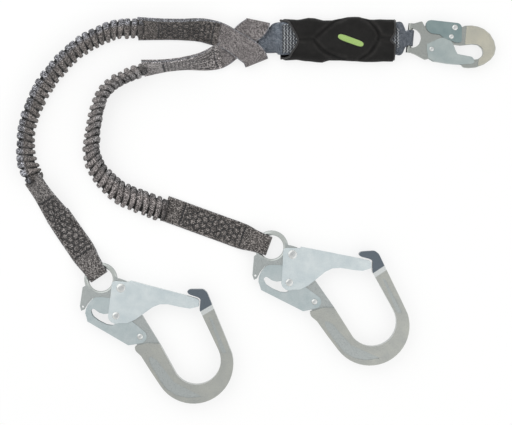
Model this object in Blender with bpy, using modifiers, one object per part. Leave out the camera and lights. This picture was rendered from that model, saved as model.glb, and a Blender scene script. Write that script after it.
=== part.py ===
"""Shock absorbing lanyard: a twin-leg, energy absorbing fall-arrest lanyard lying flat.

Metres, +Z up.  The floor is Z = 0 and the origin is the middle of the whole layout.
Outlines are written in millimetres in each metal part's own frame, straps in world
millimetres, and MM turns both into metres.
"""
import math

import bmesh
import bpy
from mathutils import Matrix, Vector

MM = 0.001
FLOOR = 0.02                   # height of the lowest webbing above the floor, mm
GAP = 0.3                      # clearance between neighbouring solids, mm
SHALLOW = 155.0                # a corner of an outline opener than this stays as it is

# ---- driving dimensions, mm ----
WEB = 1.8                      # thickness of every webbing layer
LEG_WIDTH = 35.0               # grey leg webbing
PACK_WIDTH = 44.0              # blue webbing of the energy absorber
LAYOUT = Matrix.Translation((-6.3 * MM, 5.4 * MM, 0.0))   # centres the layout's box

# rebar hook
HOOK_MID = 10.0                # height of the hook's middle plane
BOW_HALF = 10.0                # half thickness of the forged bow
SPINE_HALF = 5.0               # half thickness of the forged shank
TONGUE_HALF = 3.0
LEVER_IN = SPINE_HALF + GAP
LEVER_OUT = LEVER_IN + 1.5
GATE_IN = LEVER_OUT + GAP
GATE_OUT = GATE_IN + 1.5
EYE_MAJOR = 19.25
EYE_MINOR = 3.25
GATE_PIVOT = (28.1, -9.7)
GATE_PIN = (23.8, -47.3)
LEVER_PIVOT = (57.6, -73.3)
HOOKS = (                      # name, eye centre, turn in degrees, direction of its strap
    ("hook_1", (-200.5, -99.2), -3.5, 124.3),
    ("hook_2", (29.0, -56.0), 0.0, 160.0),
)

# snap hook
SNAP_EYE = (214.6, 225.4)
SNAP_TURN = -5.5
SNAP_MID = 8.0
SNAP_HALF = 4.0                # half thickness of the thin part of its body
SNAP_BOW_HALF = 5.2
SNAP_GATE_IN = SNAP_HALF + GAP
SNAP_GATE_OUT = SNAP_GATE_IN + 1.0
SNAP_LOCK_IN = SNAP_GATE_OUT + GAP
SNAP_LOCK_OUT = SNAP_LOCK_IN + 1.0
SNAP_BAR = 3.2
SNAP_GATE_PIVOT = (30.8, -12.3)
SNAP_LOCK_PIVOT = (59.2, 19.3)
SNAP_LOCK_PIN = (55.5, 6.7)

# energy absorber
COVER_X = (39.0, 195.5)
COVER_Y = 224.6
COVER_HALF_WIDTH = 30.5
COVER_HALF_HEIGHT = 11.0
COVER_WALL = 1.5

# elastic sections of the legs
SLEEVE_HALF_WIDTH = 17.0
SLEEVE_HALF_HEIGHT = 10.5
SLEEVE_WALL = 3.5

LEG_1_ELASTIC = (
    (-141.8, 237.0), (-162.0, 237.6), (-182.3, 235.6), (-202.5, 227.5), (-222.8, 216.7),
    (-243.0, 200.5), (-261.9, 180.2), (-276.8, 160.0), (-288.9, 135.7), (-298.4, 108.7),
    (-301.0, 81.7), (-299.7, 61.4), (-294.3, 45.2), (-287.0, 33.0))
LEG_2_ELASTIC = (
    (-138.6, 184.2), (-151.2, 180.2), (-168.8, 172.1), (-186.3, 162.7), (-198.4, 149.2),
    (-205.2, 131.6), (-209.3, 112.7), (-212.0, 93.8), (-213.3, 74.9), (-209.3, 57.4),
    (-201.2, 42.5), (-189.0, 29.0), (-174.2, 16.9), (-156.6, 8.8), (-139.0, 2.0),
    (-121.5, -4.7), (-111.5, -7.4))

parts = bpy.data.collections.new("shock_absorbing_lanyard")
cutters = bpy.data.collections.new("cutters")
materials = {}


# ---------------------------------------------------------------- helpers
def clear_scene():
    for item in list(bpy.data.objects):
        bpy.data.objects.remove(item, do_unlink=True)
    for group in (parts, cutters):
        bpy.context.scene.collection.children.link(group)


def material(name, colour, metallic, roughness):
    made = bpy.data.materials.new(name)
    made.use_nodes = True
    shader = made.node_tree.nodes["Principled BSDF"]
    shader.inputs["Base Color"].default_value = (*colour, 1.0)
    shader.inputs["Metallic"].default_value = metallic
    shader.inputs["Roughness"].default_value = roughness
    materials[name] = made


def arc(centre, radius, start, end, steps):
    """Points on a round stretch of outline, angles in degrees, both ends included."""
    points = []
    for step in range(steps + 1):
        angle = math.radians(start + (end - start) * step / steps)
        points.append((centre[0] + radius * math.cos(angle), centre[1] + radius * math.sin(angle)))
    return points


def rounded(points, radius, steps=3):
    """The same closed outline with each clear corner turned into a short arc."""
    result = []
    count = len(points)
    for index in range(count):
        here = Vector(points[index])
        back = Vector(points[index - 1]) - here
        ahead = Vector(points[(index + 1) % count]) - here
        if math.degrees(back.angle(ahead)) > SHALLOW:
            result.append((here.x, here.y))
            continue
        cut = min(radius, 0.45 * back.length, 0.45 * ahead.length)
        first = here + back.normalized() * cut
        last = here + ahead.normalized() * cut
        for step in range(steps + 1):
            t = step / steps
            point = first * (1 - t) ** 2 + here * 2 * t * (1 - t) + last * t ** 2
            result.append((point.x, point.y))
    return result


def add(name, mesh, place, group=parts, colour=None):
    item = bpy.data.objects.new(name, mesh)
    item.matrix_world = place
    group.objects.link(item)
    if group is cutters:
        item.hide_render = True
        item.display_type = "WIRE"
    if colour:
        mesh.materials.append(materials[colour])
    return item


def pivot(name, place, centre, items):
    """An empty on a joint's axis, with the pieces that turn about it as its children."""
    empty = bpy.data.objects.new(name, None)
    empty.matrix_world = place @ Matrix.Translation((centre[0] * MM, centre[1] * MM, 0.0))
    parts.objects.link(empty)
    for item in items:
        item.parent = empty
        item.matrix_parent_inverse = empty.matrix_world.inverted()
    return empty


def plate_mesh(name, outlines, low, high):
    """A flat plate: the first outline is its edge, the others are holes through it."""
    curve = bpy.data.curves.new(name, "CURVE")
    curve.dimensions = "2D"
    curve.fill_mode = "BOTH"
    curve.extrude = 0.5 * (high - low) * MM
    curve.resolution_u = 1
    for outline in outlines:
        spline = curve.splines.new("POLY")
        spline.points.add(len(outline) - 1)
        for point, (x, y) in zip(spline.points, outline):
            point.co = (x * MM, y * MM, 0.0, 1.0)
        spline.use_cyclic_u = True
    flat = bpy.data.objects.new(name + "_outline", curve)
    bpy.context.scene.collection.objects.link(flat)
    shape = flat.evaluated_get(bpy.context.evaluated_depsgraph_get())
    mesh = bpy.data.meshes.new_from_object(shape)
    bpy.data.objects.remove(flat, do_unlink=True)
    mesh.transform(Matrix.Translation((0.0, 0.0, 0.5 * (low + high) * MM)))
    return tidy(mesh)


def tidy(mesh):
    work = bmesh.new()
    work.from_mesh(mesh)
    bmesh.ops.remove_doubles(work, verts=work.verts, dist=0.00001)
    bmesh.ops.recalc_face_normals(work, faces=work.faces)
    work.to_mesh(mesh)
    work.free()
    return mesh


def combine(item, other, operation):
    step = item.modifiers.new(operation.lower(), "BOOLEAN")
    step.operation = operation
    step.solver = "EXACT"
    step.object = other


def bevel(item, width, segments=2, angle=40.0):
    step = item.modifiers.new("edges", "BEVEL")
    step.width = width * MM
    step.segments = segments
    step.limit_method = "ANGLE"
    step.angle_limit = math.radians(angle)


def smooth(mesh, angle=35.0):
    mesh.shade_smooth()
    mesh.set_sharp_from_angle(angle=math.radians(angle))


def cylinder(name, centre, radius, low, high, place, sides=24, group=cutters, colour=None):
    work = bmesh.new()
    bmesh.ops.create_cone(work, cap_ends=True, segments=sides, radius1=radius * MM,
                          radius2=radius * MM, depth=(high - low) * MM,
                          matrix=Matrix.Translation((centre[0] * MM, centre[1] * MM,
                                                     0.5 * (low + high) * MM)))
    mesh = bpy.data.meshes.new(name)
    work.to_mesh(mesh)
    work.free()
    return add(name, mesh, place, group, colour)


def rivet(name, centre, shank, head, half, thick, place, colour):
    """A rivet along Z: a shank with a domed head at each end, turned about its axis."""
    top = half + thick
    rim = half + 0.35 * thick
    profile = ((0.0, top), (0.6 * head, top), (head, rim), (head, half), (shank, half),
               (shank, -half), (head, -half), (head, -rim), (0.6 * head, -top), (0.0, -top))
    mesh = bpy.data.meshes.new(name)
    mesh.from_pydata([(x * MM, 0.0, z * MM) for x, z in profile],
                     [(i, i + 1) for i in range(len(profile) - 1)], [])
    item = add(name, mesh, place @ Matrix.Translation((centre[0] * MM, centre[1] * MM, 0.0)),
               parts, colour)
    turned = item.modifiers.new("turned", "SCREW")
    turned.axis = "Z"
    turned.steps = 16
    turned.render_steps = 16
    turned.use_merge_vertices = True
    turned.merge_threshold = 0.00001
    return item


def wire(name, points, radius, place, colour):
    curve = bpy.data.curves.new(name, "CURVE")
    curve.dimensions = "3D"
    curve.bevel_depth = radius * MM
    curve.bevel_resolution = 1
    curve.use_fill_caps = True
    spline = curve.splines.new("POLY")
    spline.points.add(len(points) - 1)
    for point, (x, y, z) in zip(spline.points, points):
        point.co = (x * MM, y * MM, z * MM, 1.0)
    item = bpy.data.objects.new(name, curve)
    item.matrix_world = place
    curve.materials.append(materials[colour])
    parts.objects.link(item)
    return item


def coil(name, centre, radius, wire_radius, height, place, colour):
    """A flat spiral torsion spring of two turns round a pivot."""
    turns = 2
    steps = 10 * turns
    points = []
    for step in range(steps + 1):
        angle = 2 * math.pi * turns * step / steps
        reach = radius + turns * (2 * wire_radius + 0.2) * step / steps
        points.append((centre[0] + reach * math.cos(angle),
                       centre[1] + reach * math.sin(angle), height))
    return wire(name, points, wire_radius, place, colour)


def smooth_path(points, count):
    """Evenly spaced points on a smooth curve through the route's points."""
    route = [Vector(point) for point in points]
    dense = []
    for index in range(len(route) - 1):
        before = route[max(index - 1, 0)]
        after = route[min(index + 2, len(route) - 1)]
        start = route[index]
        end = route[index + 1]
        for step in range(12):
            t = step / 12
            bend = (2 * start + (end - before) * t
                    + (2 * before - 5 * start + 4 * end - after) * t ** 2
                    + (3 * start - before - 3 * end + after) * t ** 3)
            dense.append(0.5 * bend)
    dense.append(route[-1])
    lengths = [0.0]
    for index in range(1, len(dense)):
        lengths.append(lengths[-1] + (dense[index] - dense[index - 1]).length)
    spaced = []
    at = 0
    for step in range(count):
        target = lengths[-1] * step / (count - 1)
        while at < len(dense) - 2 and lengths[at + 1] < target:
            at += 1
        part = (target - lengths[at]) / max(lengths[at + 1] - lengths[at], 1e-9)
        spaced.append(dense[at].lerp(dense[at + 1], min(part, 1.0)))
    return spaced


def ribbon(name, stations, colour, across=1, shape=None):
    """Webbing: stations are (centre, sideways direction, width) in world millimetres."""
    work = bmesh.new()
    rows = len(stations)
    bmesh.ops.create_grid(work, x_segments=rows - 1, y_segments=across, size=0.5)
    work.verts.ensure_lookup_table()
    for vertex in work.verts:
        row = round((vertex.co.x + 0.5) * (rows - 1))
        side = vertex.co.y
        if shape:
            place = shape(row, side)
        else:
            centre, sideways, width = stations[row]
            place = Vector(centre) + Vector(sideways).normalized() * (width * side)
        vertex.co = place * MM
    mesh = bpy.data.meshes.new(name)
    work.to_mesh(mesh)
    work.free()
    item = add(name, mesh, LAYOUT, parts, colour)
    thick = item.modifiers.new("thickness", "SOLIDIFY")
    thick.thickness = WEB * MM
    thick.offset = 0.0
    thick.use_even_offset = True
    return item


def loft_mesh(name, rings, capped):
    """A skin over closed rings of points in millimetres."""
    work = bmesh.new()
    rows = [[work.verts.new(Vector(point) * MM) for point in ring] for ring in rings]
    for row, following in zip(rows, rows[1:]):
        count = len(row)
        for index in range(count):
            beside = (index + 1) % count
            work.faces.new((row[index], row[beside], following[beside], following[index]))
    if capped:
        work.faces.new(list(reversed(rows[0])))
        work.faces.new(rows[-1])
    bmesh.ops.recalc_face_normals(work, faces=work.faces)
    mesh = bpy.data.meshes.new(name)
    work.to_mesh(mesh)
    work.free()
    smooth(mesh)
    return mesh


def oval(half_width, half_height, power, sides):
    ring = []
    for index in range(sides):
        angle = 2 * math.pi * (index + 0.5) / sides
        x = math.copysign(abs(math.cos(angle)) ** power, math.cos(angle)) * half_width
        y = math.copysign(abs(math.sin(angle)) ** power, math.sin(angle)) * half_height
        ring.append((x, y))
    return ring


def flat_direction(path, index):
    ahead = path[min(index + 1, len(path) - 1)]
    behind = path[max(index - 1, 0)]
    run = ahead - behind
    return Vector((run.x, run.y, 0.0)).normalized()


# ---------------------------------------------------------------- rebar hooks
def hook_body(name, place):
    bow = [(51.3, -86.4), (52.7, -92.5), (60.8, -99.2), (74.9, -118.8)]
    bow += arc((131.6, -105.3), 53.3, -142.0, 17.5, 22)
    bow += [(174.2, -71.6), (151.9, -25.7), (143.8, -8.8), (138.4, -4.5), (119.5, -5.8),
            (116.6, -9.3), (119.5, -12.6), (130.3, -15.4), (135.6, -17.6), (135.2, -33.1),
            (138.0, -37.8)]
    bow += arc((135.0, -100.3), 32.8, 29.0, -141.5, 16)
    bow += [(84.2, -81.0), (69.5, -81.0)]
    shank = arc((0.0, 0.0), 18.5, -132.0, 20.0, 12)
    shank += [(22.5, 3.0), (28.1, 1.8), (34.5, -0.3), (39.2, -6.0), (41.0, -20.0), (49.5, -39.0),
              (58.7, -44.6), (87.0, -85.0), (75.0, -92.0), (57.0, -90.0), (46.0, -70.0),
              (33.0, -56.0), (31.0, -48.0), (28.0, -42.6), (20.0, -41.5), (12.0, -38.0),
              (4.0, -33.0), (-9.0, -26.5), (-14.0, -18.0)]
    tongue = [(-17.5, -8.0), (-23.6, -12.2), (-25.7, -37.8), (-23.6, -43.9), (-19.6, -41.9),
              (-15.5, -33.8), (-8.0, -24.0), (-9.0, -16.5)]
    body = add(name + "_body", plate_mesh(name + "_body", [rounded(bow, 2.0, 2)],
                                          -BOW_HALF, BOW_HALF), place, parts, "aluminium")
    bevel(body, 2.6, 2, 50.0)
    for label, outline, half in (("shank", shank, SPINE_HALF), ("tongue", tongue, TONGUE_HALF)):
        piece = add(name + "_" + label, plate_mesh(name + "_" + label, [outline], -half, half),
                    place, cutters)
        combine(body, piece, "UNION")
    bpy.ops.mesh.primitive_torus_add(major_radius=EYE_MAJOR * MM, minor_radius=EYE_MINOR * MM,
                                     major_segments=32, minor_segments=8)
    ring = bpy.context.object
    ring.name = name + "_eye_ring"
    for group in list(ring.users_collection):
        group.objects.unlink(ring)
    cutters.objects.link(ring)
    ring.hide_render = True
    ring.display_type = "WIRE"
    ring.matrix_world = place
    combine(body, ring, "UNION")
    pocket = [(72.2, -98.0), (82.0, -103.0), (91.5, -114.0), (107.0, -131.2), (121.5, -137.6),
              (146.0, -148.6), (126.2, -151.5), (111.0, -148.8), (97.8, -141.6), (87.2, -129.6),
              (75.4, -112.0), (71.0, -103.5)]
    arm = [(148.2, -41.0), (152.4, -43.0), (175.2, -88.0), (168.5, -88.5)]
    for label, outline in (("pocket", pocket), ("arm_recess", arm)):
        for side, low, high in (("top", BOW_HALF - 1.6, BOW_HALF + 4),
                                ("under", -BOW_HALF - 4, 1.6 - BOW_HALF)):
            title = name + "_" + label + "_" + side
            combine(body, add(title, plate_mesh(title, [rounded(outline, 2.5, 2)], low, high),
                              place, cutters), "DIFFERENCE")
    holes = ((GATE_PIVOT, 3.5, -20, 20), (LEVER_PIVOT, 2.9, -20, 20),
             (LEVER_PIVOT, 6.4, SPINE_HALF - 2.4, 20), ((-21.8, -38.2), 1.4, -20, 20))
    for index, (centre, radius, low, high) in enumerate(holes):
        combine(body, cylinder(name + "_hole_" + str(index), centre, radius, low, high, place,
                               20), "DIFFERENCE")
    return body


def channel(name, outlines, inner, outer, hollow, place, colour):
    """A folded sheet part: two cheeks joined by a web along one edge."""
    item = add(name, plate_mesh(name, outlines, -outer, outer), place, parts, colour)
    inside = add(name + "_hollow", plate_mesh(name + "_hollow", [hollow], -inner, inner),
                 place, cutters)
    combine(item, inside, "DIFFERENCE")
    return item


def hook_gate(name, place):
    edge = [(15.8, -3.2), (19.5, -0.7), (38.5, -1.2), (39.8, 0.7), (115.4, -14.2), (131.0, -17.9),
            (133.8, -20.3), (133.8, -28.0), (130.3, -29.3), (122.2, -31.7), (108.7, -30.4),
            (92.5, -27.7), (81.7, -28.4), (72.2, -32.8), (58.7, -43.9), (49.3, -51.3),
            (38.5, -56.7)]
    edge += arc(GATE_PIN, 10.8, -65.0, -170.0, 6)
    hollow = [(-30.0, 30.0), (38.3, 30.0), (38.3, -1.4), (115.1, -15.8), (131.9, -19.4),
              (131.9, -70.0), (-30.0, -70.0)]
    holes = [arc(GATE_PIVOT, 3.5, 0.0, 345.0, 23), arc(GATE_PIN, 2.3, 0.0, 340.0, 17)]
    return channel(name + "_gate", [edge] + holes, GATE_IN, GATE_OUT, hollow, place, "zinc")


def hook_lever(name, place):
    edge = [(14.2, -24.3), (4.7, -23.6), (-4.7, -24.3), (-10.1, -27.7), (-14.2, -33.8),
            (-17.1, -40.5), (-17.6, -46.5), (-15.5, -52.5), (-14.2, -57.4), (42.5, -86.0),
            (49.5, -84.6)]
    edge += arc(LEVER_PIVOT, 9.0, -65.0, 45.0, 6)
    edge += [(45.2, -53.3), (34.0, -43.0), (24.0, -33.0), (20.0, -27.0)]
    slot = [(-7.4, -39.2), (0.7, -44.6), (7.0, -46.2), (16.0, -44.9), (22.5, -43.9),
            (26.4, -45.4), (26.9, -48.6), (24.4, -54.6), (22.0, -59.6), (19.6, -60.8),
            (11.5, -60.1), (0.7, -55.4), (-7.4, -50.0), (-11.0, -42.4)]
    hollow = [(-40.0, -10.0), (-40.0, -54.0), (-15.4, -54.0), (41.8, -84.4), (48.6, -82.6),
              (56.0, -96.0), (90.0, -96.0), (90.0, -10.0)]
    holes = [rounded(slot, 2.0, 2), arc(LEVER_PIVOT, 2.9, 0.0, 342.0, 19)]
    return channel(name + "_lever", [edge] + holes, LEVER_IN, LEVER_OUT, hollow, place, "zinc")


def hook(name, eye, turn):
    place = (LAYOUT @ Matrix.Translation((eye[0] * MM, eye[1] * MM, HOOK_MID * MM))
             @ Matrix.Rotation(math.radians(turn), 4, "Z"))
    body = hook_body(name, place)
    gate = hook_gate(name, place)
    lever = hook_lever(name, place)
    pin = rivet(name + "_gate_pin", GATE_PIN, 2.0, 5.0, GATE_OUT + GAP, 1.1, place, "rivet")
    fixed = [
        rivet(name + "_gate_rivet", GATE_PIVOT, 3.2, 6.0, GATE_OUT + GAP, 1.1, place, "rivet"),
        rivet(name + "_lever_rivet", LEVER_PIVOT, 2.6, 4.0, LEVER_OUT + GAP, 1.4, place,
              "rivet"),
        coil(name + "_gate_spring", GATE_PIVOT, 4.2, 0.4, 0.5 * (SPINE_HALF + GATE_IN),
             place, "spring"),
        coil(name + "_lever_spring", LEVER_PIVOT, 3.6, 0.4, SPINE_HALF - 1.0, place,
             "spring")]
    gate_axis = pivot(name + "_gate_axis", place, GATE_PIVOT, [gate, pin])
    lever_axis = pivot(name + "_lever_axis", place, LEVER_PIVOT, [lever])
    pivot(name + "_eye_axis", place, (0.0, 0.0), [body, *fixed, gate_axis, lever_axis])


# ---------------------------------------------------------------- snap hook
def snap_body(place):
    blade = [(3.2, -19.8), (8.9, -21.2), (23.3, -27.3), (29.0, -25.0), (36.0, -21.5),
             (41.5, -14.5), (44.5, -6.0), (52.0, -3.2), (61.4, -3.2), (69.2, -3.7), (84.0, -0.6),
             (92.3, -0.7), (98.2, -5.0), (100.1, -10.3), (99.2, -15.2), (94.1, -19.8),
             (88.7, -21.0), (79.0, -22.5), (73.6, -27.5), (73.1, -30.6), (76.1, -32.6),
             (83.0, -32.6), (92.4, -31.0), (103.0, -25.9), (111.2, -18.9), (115.4, -11.6),
             (116.6, -3.2), (113.6, 6.1), (107.3, 15.1), (98.4, 21.2), (89.9, 23.8),
             (81.6, 24.4), (72.0, 23.2), (69.4, 21.2), (60.0, 21.2), (48.0, 18.2), (21.5, 16.2),
             (17.6, 18.5), (14.9, 23.6), (11.6, 22.7), (3.2, 19.4)]
    bow = [(74.8, 23.2), (81.6, 23.9), (89.9, 23.3), (98.4, 20.7), (107.3, 14.6), (113.0, 6.0),
           (116.0, -3.2), (114.8, -11.6), (110.8, -18.6), (102.8, -25.4), (95.0, -29.0),
           (95.2, -20.0), (99.8, -15.3), (100.7, -10.3), (98.6, -4.5), (92.3, -0.1),
           (84.0, 0.0), (74.8, -2.0)]
    eye = [(3.2, -13.2), (8.6, -12.0), (13.6, -7.5), (15.7, 0.5), (13.9, 7.0), (8.4, 11.9),
           (3.2, 13.2)]
    end_cut = [(-9.0, -30.0), (3.4, -30.0), (3.4, 30.0), (-9.0, 30.0)]
    body = add("snap_body", plate_mesh("snap_body", [rounded(blade, 1.5, 2)], -SNAP_HALF,
                                       SNAP_HALF), place, parts, "plated_steel")
    bevel(body, 1.0, 2, 50.0)
    thick = add("snap_thick_bow", plate_mesh("snap_thick_bow", [rounded(bow, 1.5, 2)],
                                             -SNAP_BOW_HALF, SNAP_BOW_HALF), place, cutters)
    bevel(thick, 1.6, 2, 50.0)
    combine(body, thick, "UNION")
    combine(body, add("snap_eye_hole", plate_mesh("snap_eye_hole", [rounded(eye, 2.0, 2)],
                                                  -9.0, 9.0), place, cutters), "DIFFERENCE")
    combine(body, add("snap_eye_end", plate_mesh("snap_eye_end", [end_cut], -9.0, 9.0),
                      place, cutters), "DIFFERENCE")
    across = Matrix.Rotation(math.radians(90.0), 4, "X")
    bar = cylinder("snap_eye_bar", (0.0, 0.0), SNAP_BAR, -19.6, 19.8, place @ across, 20)
    combine(body, bar, "UNION")
    rails = (("lower", [(0.0, -19.6), (6.0, -19.6), (6.0, -13.0), (0.0, -13.4)]),
             ("upper", [(0.0, 13.4), (6.0, 13.0), (6.0, 19.8), (0.0, 19.8)]))
    for label, rail in rails:
        piece = add("snap_rail_" + label, plate_mesh("snap_rail_" + label, [rail],
                                                     -SNAP_BAR + 0.1, SNAP_BAR - 0.1),
                    place, cutters)
        combine(body, piece, "UNION")
    holes = ((SNAP_GATE_PIVOT, 2.3, -9, 9), (SNAP_LOCK_PIVOT, 2.8, -9, 9),
             ((56.1, 6.6), 3.6, -9, 9), (SNAP_GATE_PIVOT, 6.2, SNAP_HALF - 1.9, 9))
    for index, (centre, radius, low, high) in enumerate(holes):
        combine(body, cylinder("snap_hole_" + str(index), centre, radius, low, high, place, 20),
                "DIFFERENCE")
    return body


def snap_gate(place):
    edge = [(24.0, -5.9), (31.8, -1.8), (38.3, 2.3), (46.2, 5.4), (51.0, 5.2), (55.0, 2.1),
            (58.2, -1.4), (59.1, -3.6), (61.2, -7.2), (63.0, -11.1), (66.2, -15.6), (85.6, -17.4),
            (88.7, -20.4), (89.7, -24.4), (87.9, -26.6), (73.0, -29.2), (53.7, -29.6),
            (34.3, -28.2), (27.1, -24.6), (24.4, -13.5)]
    hollow = [(10.0, 30.0), (10.0, -40.0), (35.6, -40.0), (35.6, -27.2), (53.7, -28.5),
              (71.4, -28.3), (71.4, -40.0), (110.0, -40.0), (110.0, 30.0)]
    holes = [arc(SNAP_GATE_PIVOT, 2.3, 0.0, 340.0, 17)]
    return channel("snap_gate", [edge] + holes, SNAP_GATE_IN, SNAP_GATE_OUT, hollow,
                   place, "zinc")


def snap_lock(place):
    edge = [(21.7, 24.8), (26.4, 26.3), (63.6, 25.7), (67.2, 23.2), (68.4, 20.0), (70.0, 1.9),
            (67.5, -0.4), (61.3, -0.6), (42.8, 5.8), (40.5, 8.0), (28.1, 8.5), (23.7, 11.2),
            (20.2, 15.7), (20.4, 21.9)]
    hollow = [(5.0, -20.0), (5.0, 23.0), (22.4, 23.6), (26.7, 25.2), (63.2, 24.6), (65.4, 23.3),
              (90.0, 23.3), (90.0, -20.0)]
    holes = [arc(SNAP_LOCK_PIVOT, 2.8, 0.0, 342.0, 19), arc(SNAP_LOCK_PIN, 2.3, 0.0, 340.0, 17)]
    return channel("snap_lock", [rounded(edge, 1.5, 2)] + holes, SNAP_LOCK_IN, SNAP_LOCK_OUT,
                   hollow, place, "zinc")


def snap():
    place = (LAYOUT @ Matrix.Translation((SNAP_EYE[0] * MM, SNAP_EYE[1] * MM, SNAP_MID * MM))
             @ Matrix.Rotation(math.radians(SNAP_TURN), 4, "Z"))
    body = snap_body(place)
    gate = snap_gate(place)
    lock = snap_lock(place)
    pin = rivet("snap_lock_pin", SNAP_LOCK_PIN, 2.0, 3.2, SNAP_LOCK_OUT + GAP, 1.1, place,
                "rivet")
    leaf = [(47.0, 19.0, 0.0), (40.0, 19.0, 0.0), (33.0, 19.2, 0.0), (26.0, 18.4, 0.0)]
    fixed = [
        rivet("snap_gate_rivet", SNAP_GATE_PIVOT, 2.0, 3.2, SNAP_GATE_OUT + GAP, 1.0, place,
              "rivet"),
        rivet("snap_lock_rivet", SNAP_LOCK_PIVOT, 2.5, 3.8, SNAP_LOCK_OUT + GAP, 1.1, place,
              "rivet"),
        coil("snap_gate_spring", SNAP_GATE_PIVOT, 3.2, 0.35, SNAP_HALF - 0.8, place,
             "spring"),
        wire("snap_lock_spring", leaf, 0.4, place, "spring")]
    gate_axis = pivot("snap_gate_axis", place, SNAP_GATE_PIVOT, [gate])
    lock_axis = pivot("snap_lock_axis", place, SNAP_LOCK_PIVOT, [lock, pin])
    pivot("snap_eye_axis", place, (0.0, 0.0), [body, *fixed, gate_axis, lock_axis])


# ---------------------------------------------------------------- webbing
def eye_loop(name, eye, toward, start, colour):
    """Webbing that runs to a hook's round eye, through it and back under itself."""
    angle = math.radians(toward)
    along = Vector((math.cos(angle), math.sin(angle), 0.0))
    beside = Vector((-math.sin(angle), math.cos(angle), 0.0))
    reach = EYE_MINOR + 0.6 + 0.5 * WEB
    upper = 0.5 * WEB + WEB + GAP
    lower = FLOOR + 0.5 * WEB
    profile = []
    for out, height in start:
        profile.append(("far", out, upper + height))
    for out, height in ((52.0, upper), (44.0, upper + 1.6), (36.0, upper + 5.6),
                        (29.0, upper + 10.0)):
        profile.append(("far", out, height))
    for step in range(9):
        turn = math.radians(75.0 + 210.0 * step / 8)
        profile.append(("ring", reach * math.cos(turn), HOOK_MID + reach * math.sin(turn)))
    for out, height in ((29.0, 2.6), (36.0, lower + 0.5), (46.0, lower), (105.0, lower)):
        profile.append(("far", out, height))

    def place(row, side):
        kind, out, height = profile[row]
        narrow = 0.5 * LEG_WIDTH
        if kind == "ring":
            narrow = 13.2
        elif out < 40.0:
            narrow = 13.2 + (0.5 * LEG_WIDTH - 13.2) * (out - 22.0) / 18.0
        aside = 2.0 * side * narrow
        if kind == "ring":
            lean = math.asin(aside / EYE_MAJOR)
            aside = (EYE_MAJOR + out) * math.sin(lean)
            out = (EYE_MAJOR + out) * math.cos(lean)
        spot = along * out + beside * aside
        return Vector((eye[0] + spot.x, eye[1] + spot.y, height))

    return ribbon(name, profile, colour, 8, place)


def lower_straps():
    flat = [(out, 0.0) for out in (146.6, 120.0, 90.0, 60.0)]
    eye_loop("leg_2_lower_strap", HOOKS[1][1], HOOKS[1][3], flat, "grey_webbing")
    flat = [(out, 0.0) for out in (156.6, 130.0, 98.0, 66.0)]
    eye_loop("leg_1_lower_strap", HOOKS[0][1], HOOKS[0][3], flat, "grey_webbing")


def bar_loop(name, far, bar_x, height, full, narrow, colour):
    """Webbing looped over the snap hook's eye bar, its two ends inside the cover."""
    reach = SNAP_BAR + 0.6 + 0.5 * WEB
    stations = []
    sideways = Vector((0.0, 1.0, 0.0))
    steps = ((far, 12.4, full), (COVER_X[1] + 1.0, 12.6, full), (bar_x - 9.0, 12.7, full),
             (bar_x - 4.0, height + reach, narrow + 6.0))
    for x, z, width in steps:
        stations.append(((x, COVER_Y, z), sideways, width))
    lean = math.radians(SNAP_TURN)
    across = Vector((-math.sin(lean), math.cos(lean), 0.0))
    for step in range(9):
        turn = math.radians(90.0 - 180.0 * step / 8)
        out = reach * math.cos(turn)
        stations.append(((bar_x + out * math.cos(lean), SNAP_EYE[1] + out * math.sin(lean),
                          height + reach * math.sin(turn)), across, narrow))
    steps = ((bar_x - 4.0, height - reach, narrow + 6.0), (bar_x - 9.0, 5.0, full),
             (COVER_X[1] + 1.0, 8.8, full), (far, 10.0, full))
    for x, z, width in steps:
        stations.append(((x, COVER_Y, z), sideways, width))
    ribbon(name, stations, colour, 2)


def leg_end_loop():
    """Blue loop that the grey yoke passes through."""
    sideways = Vector((0.0, 1.0, 0.0))
    middle = 222.3
    bunched = 34.0
    low = FLOOR + 0.5 * WEB
    high = 6.4
    left = -14.0
    radius = 0.5 * (high - low)
    stations = [((66.0, COVER_Y, 12.4), sideways, PACK_WIDTH),
                ((41.0, COVER_Y, 12.2), sideways, PACK_WIDTH),
                ((35.5, COVER_Y, 11.2), sideways, 42.0),
                ((28.5, middle, high), sideways, bunched)]
    for step in range(9):
        turn = math.radians(90.0 + 180.0 * step / 8)
        stations.append(((left + radius * math.cos(turn), middle,
                          low + radius + radius * math.sin(turn)), sideways, bunched))
    stations += [((28.5, middle, low), sideways, bunched),
                 ((35.5, COVER_Y, 7.6), sideways, 42.0),
                 ((41.0, COVER_Y, 8.4), sideways, PACK_WIDTH),
                 ((66.0, COVER_Y, 10.0), sideways, PACK_WIDTH)]
    ribbon("leg_end_loop", stations, "blue_webbing", 1)
    pad_radius = radius + WEB + GAP
    stations = [((24.0, middle, high + WEB + GAP), sideways, bunched - 2.0)]
    for step in range(5):
        turn = math.radians(90.0 + 90.0 * step / 4)
        stations.append(((left + pad_radius * math.cos(turn), middle,
                          low + radius + pad_radius * math.sin(turn)), sideways, bunched - 2.0))
    ribbon("leg_end_wear_pad", stations, "black_webbing", 1)


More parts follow.
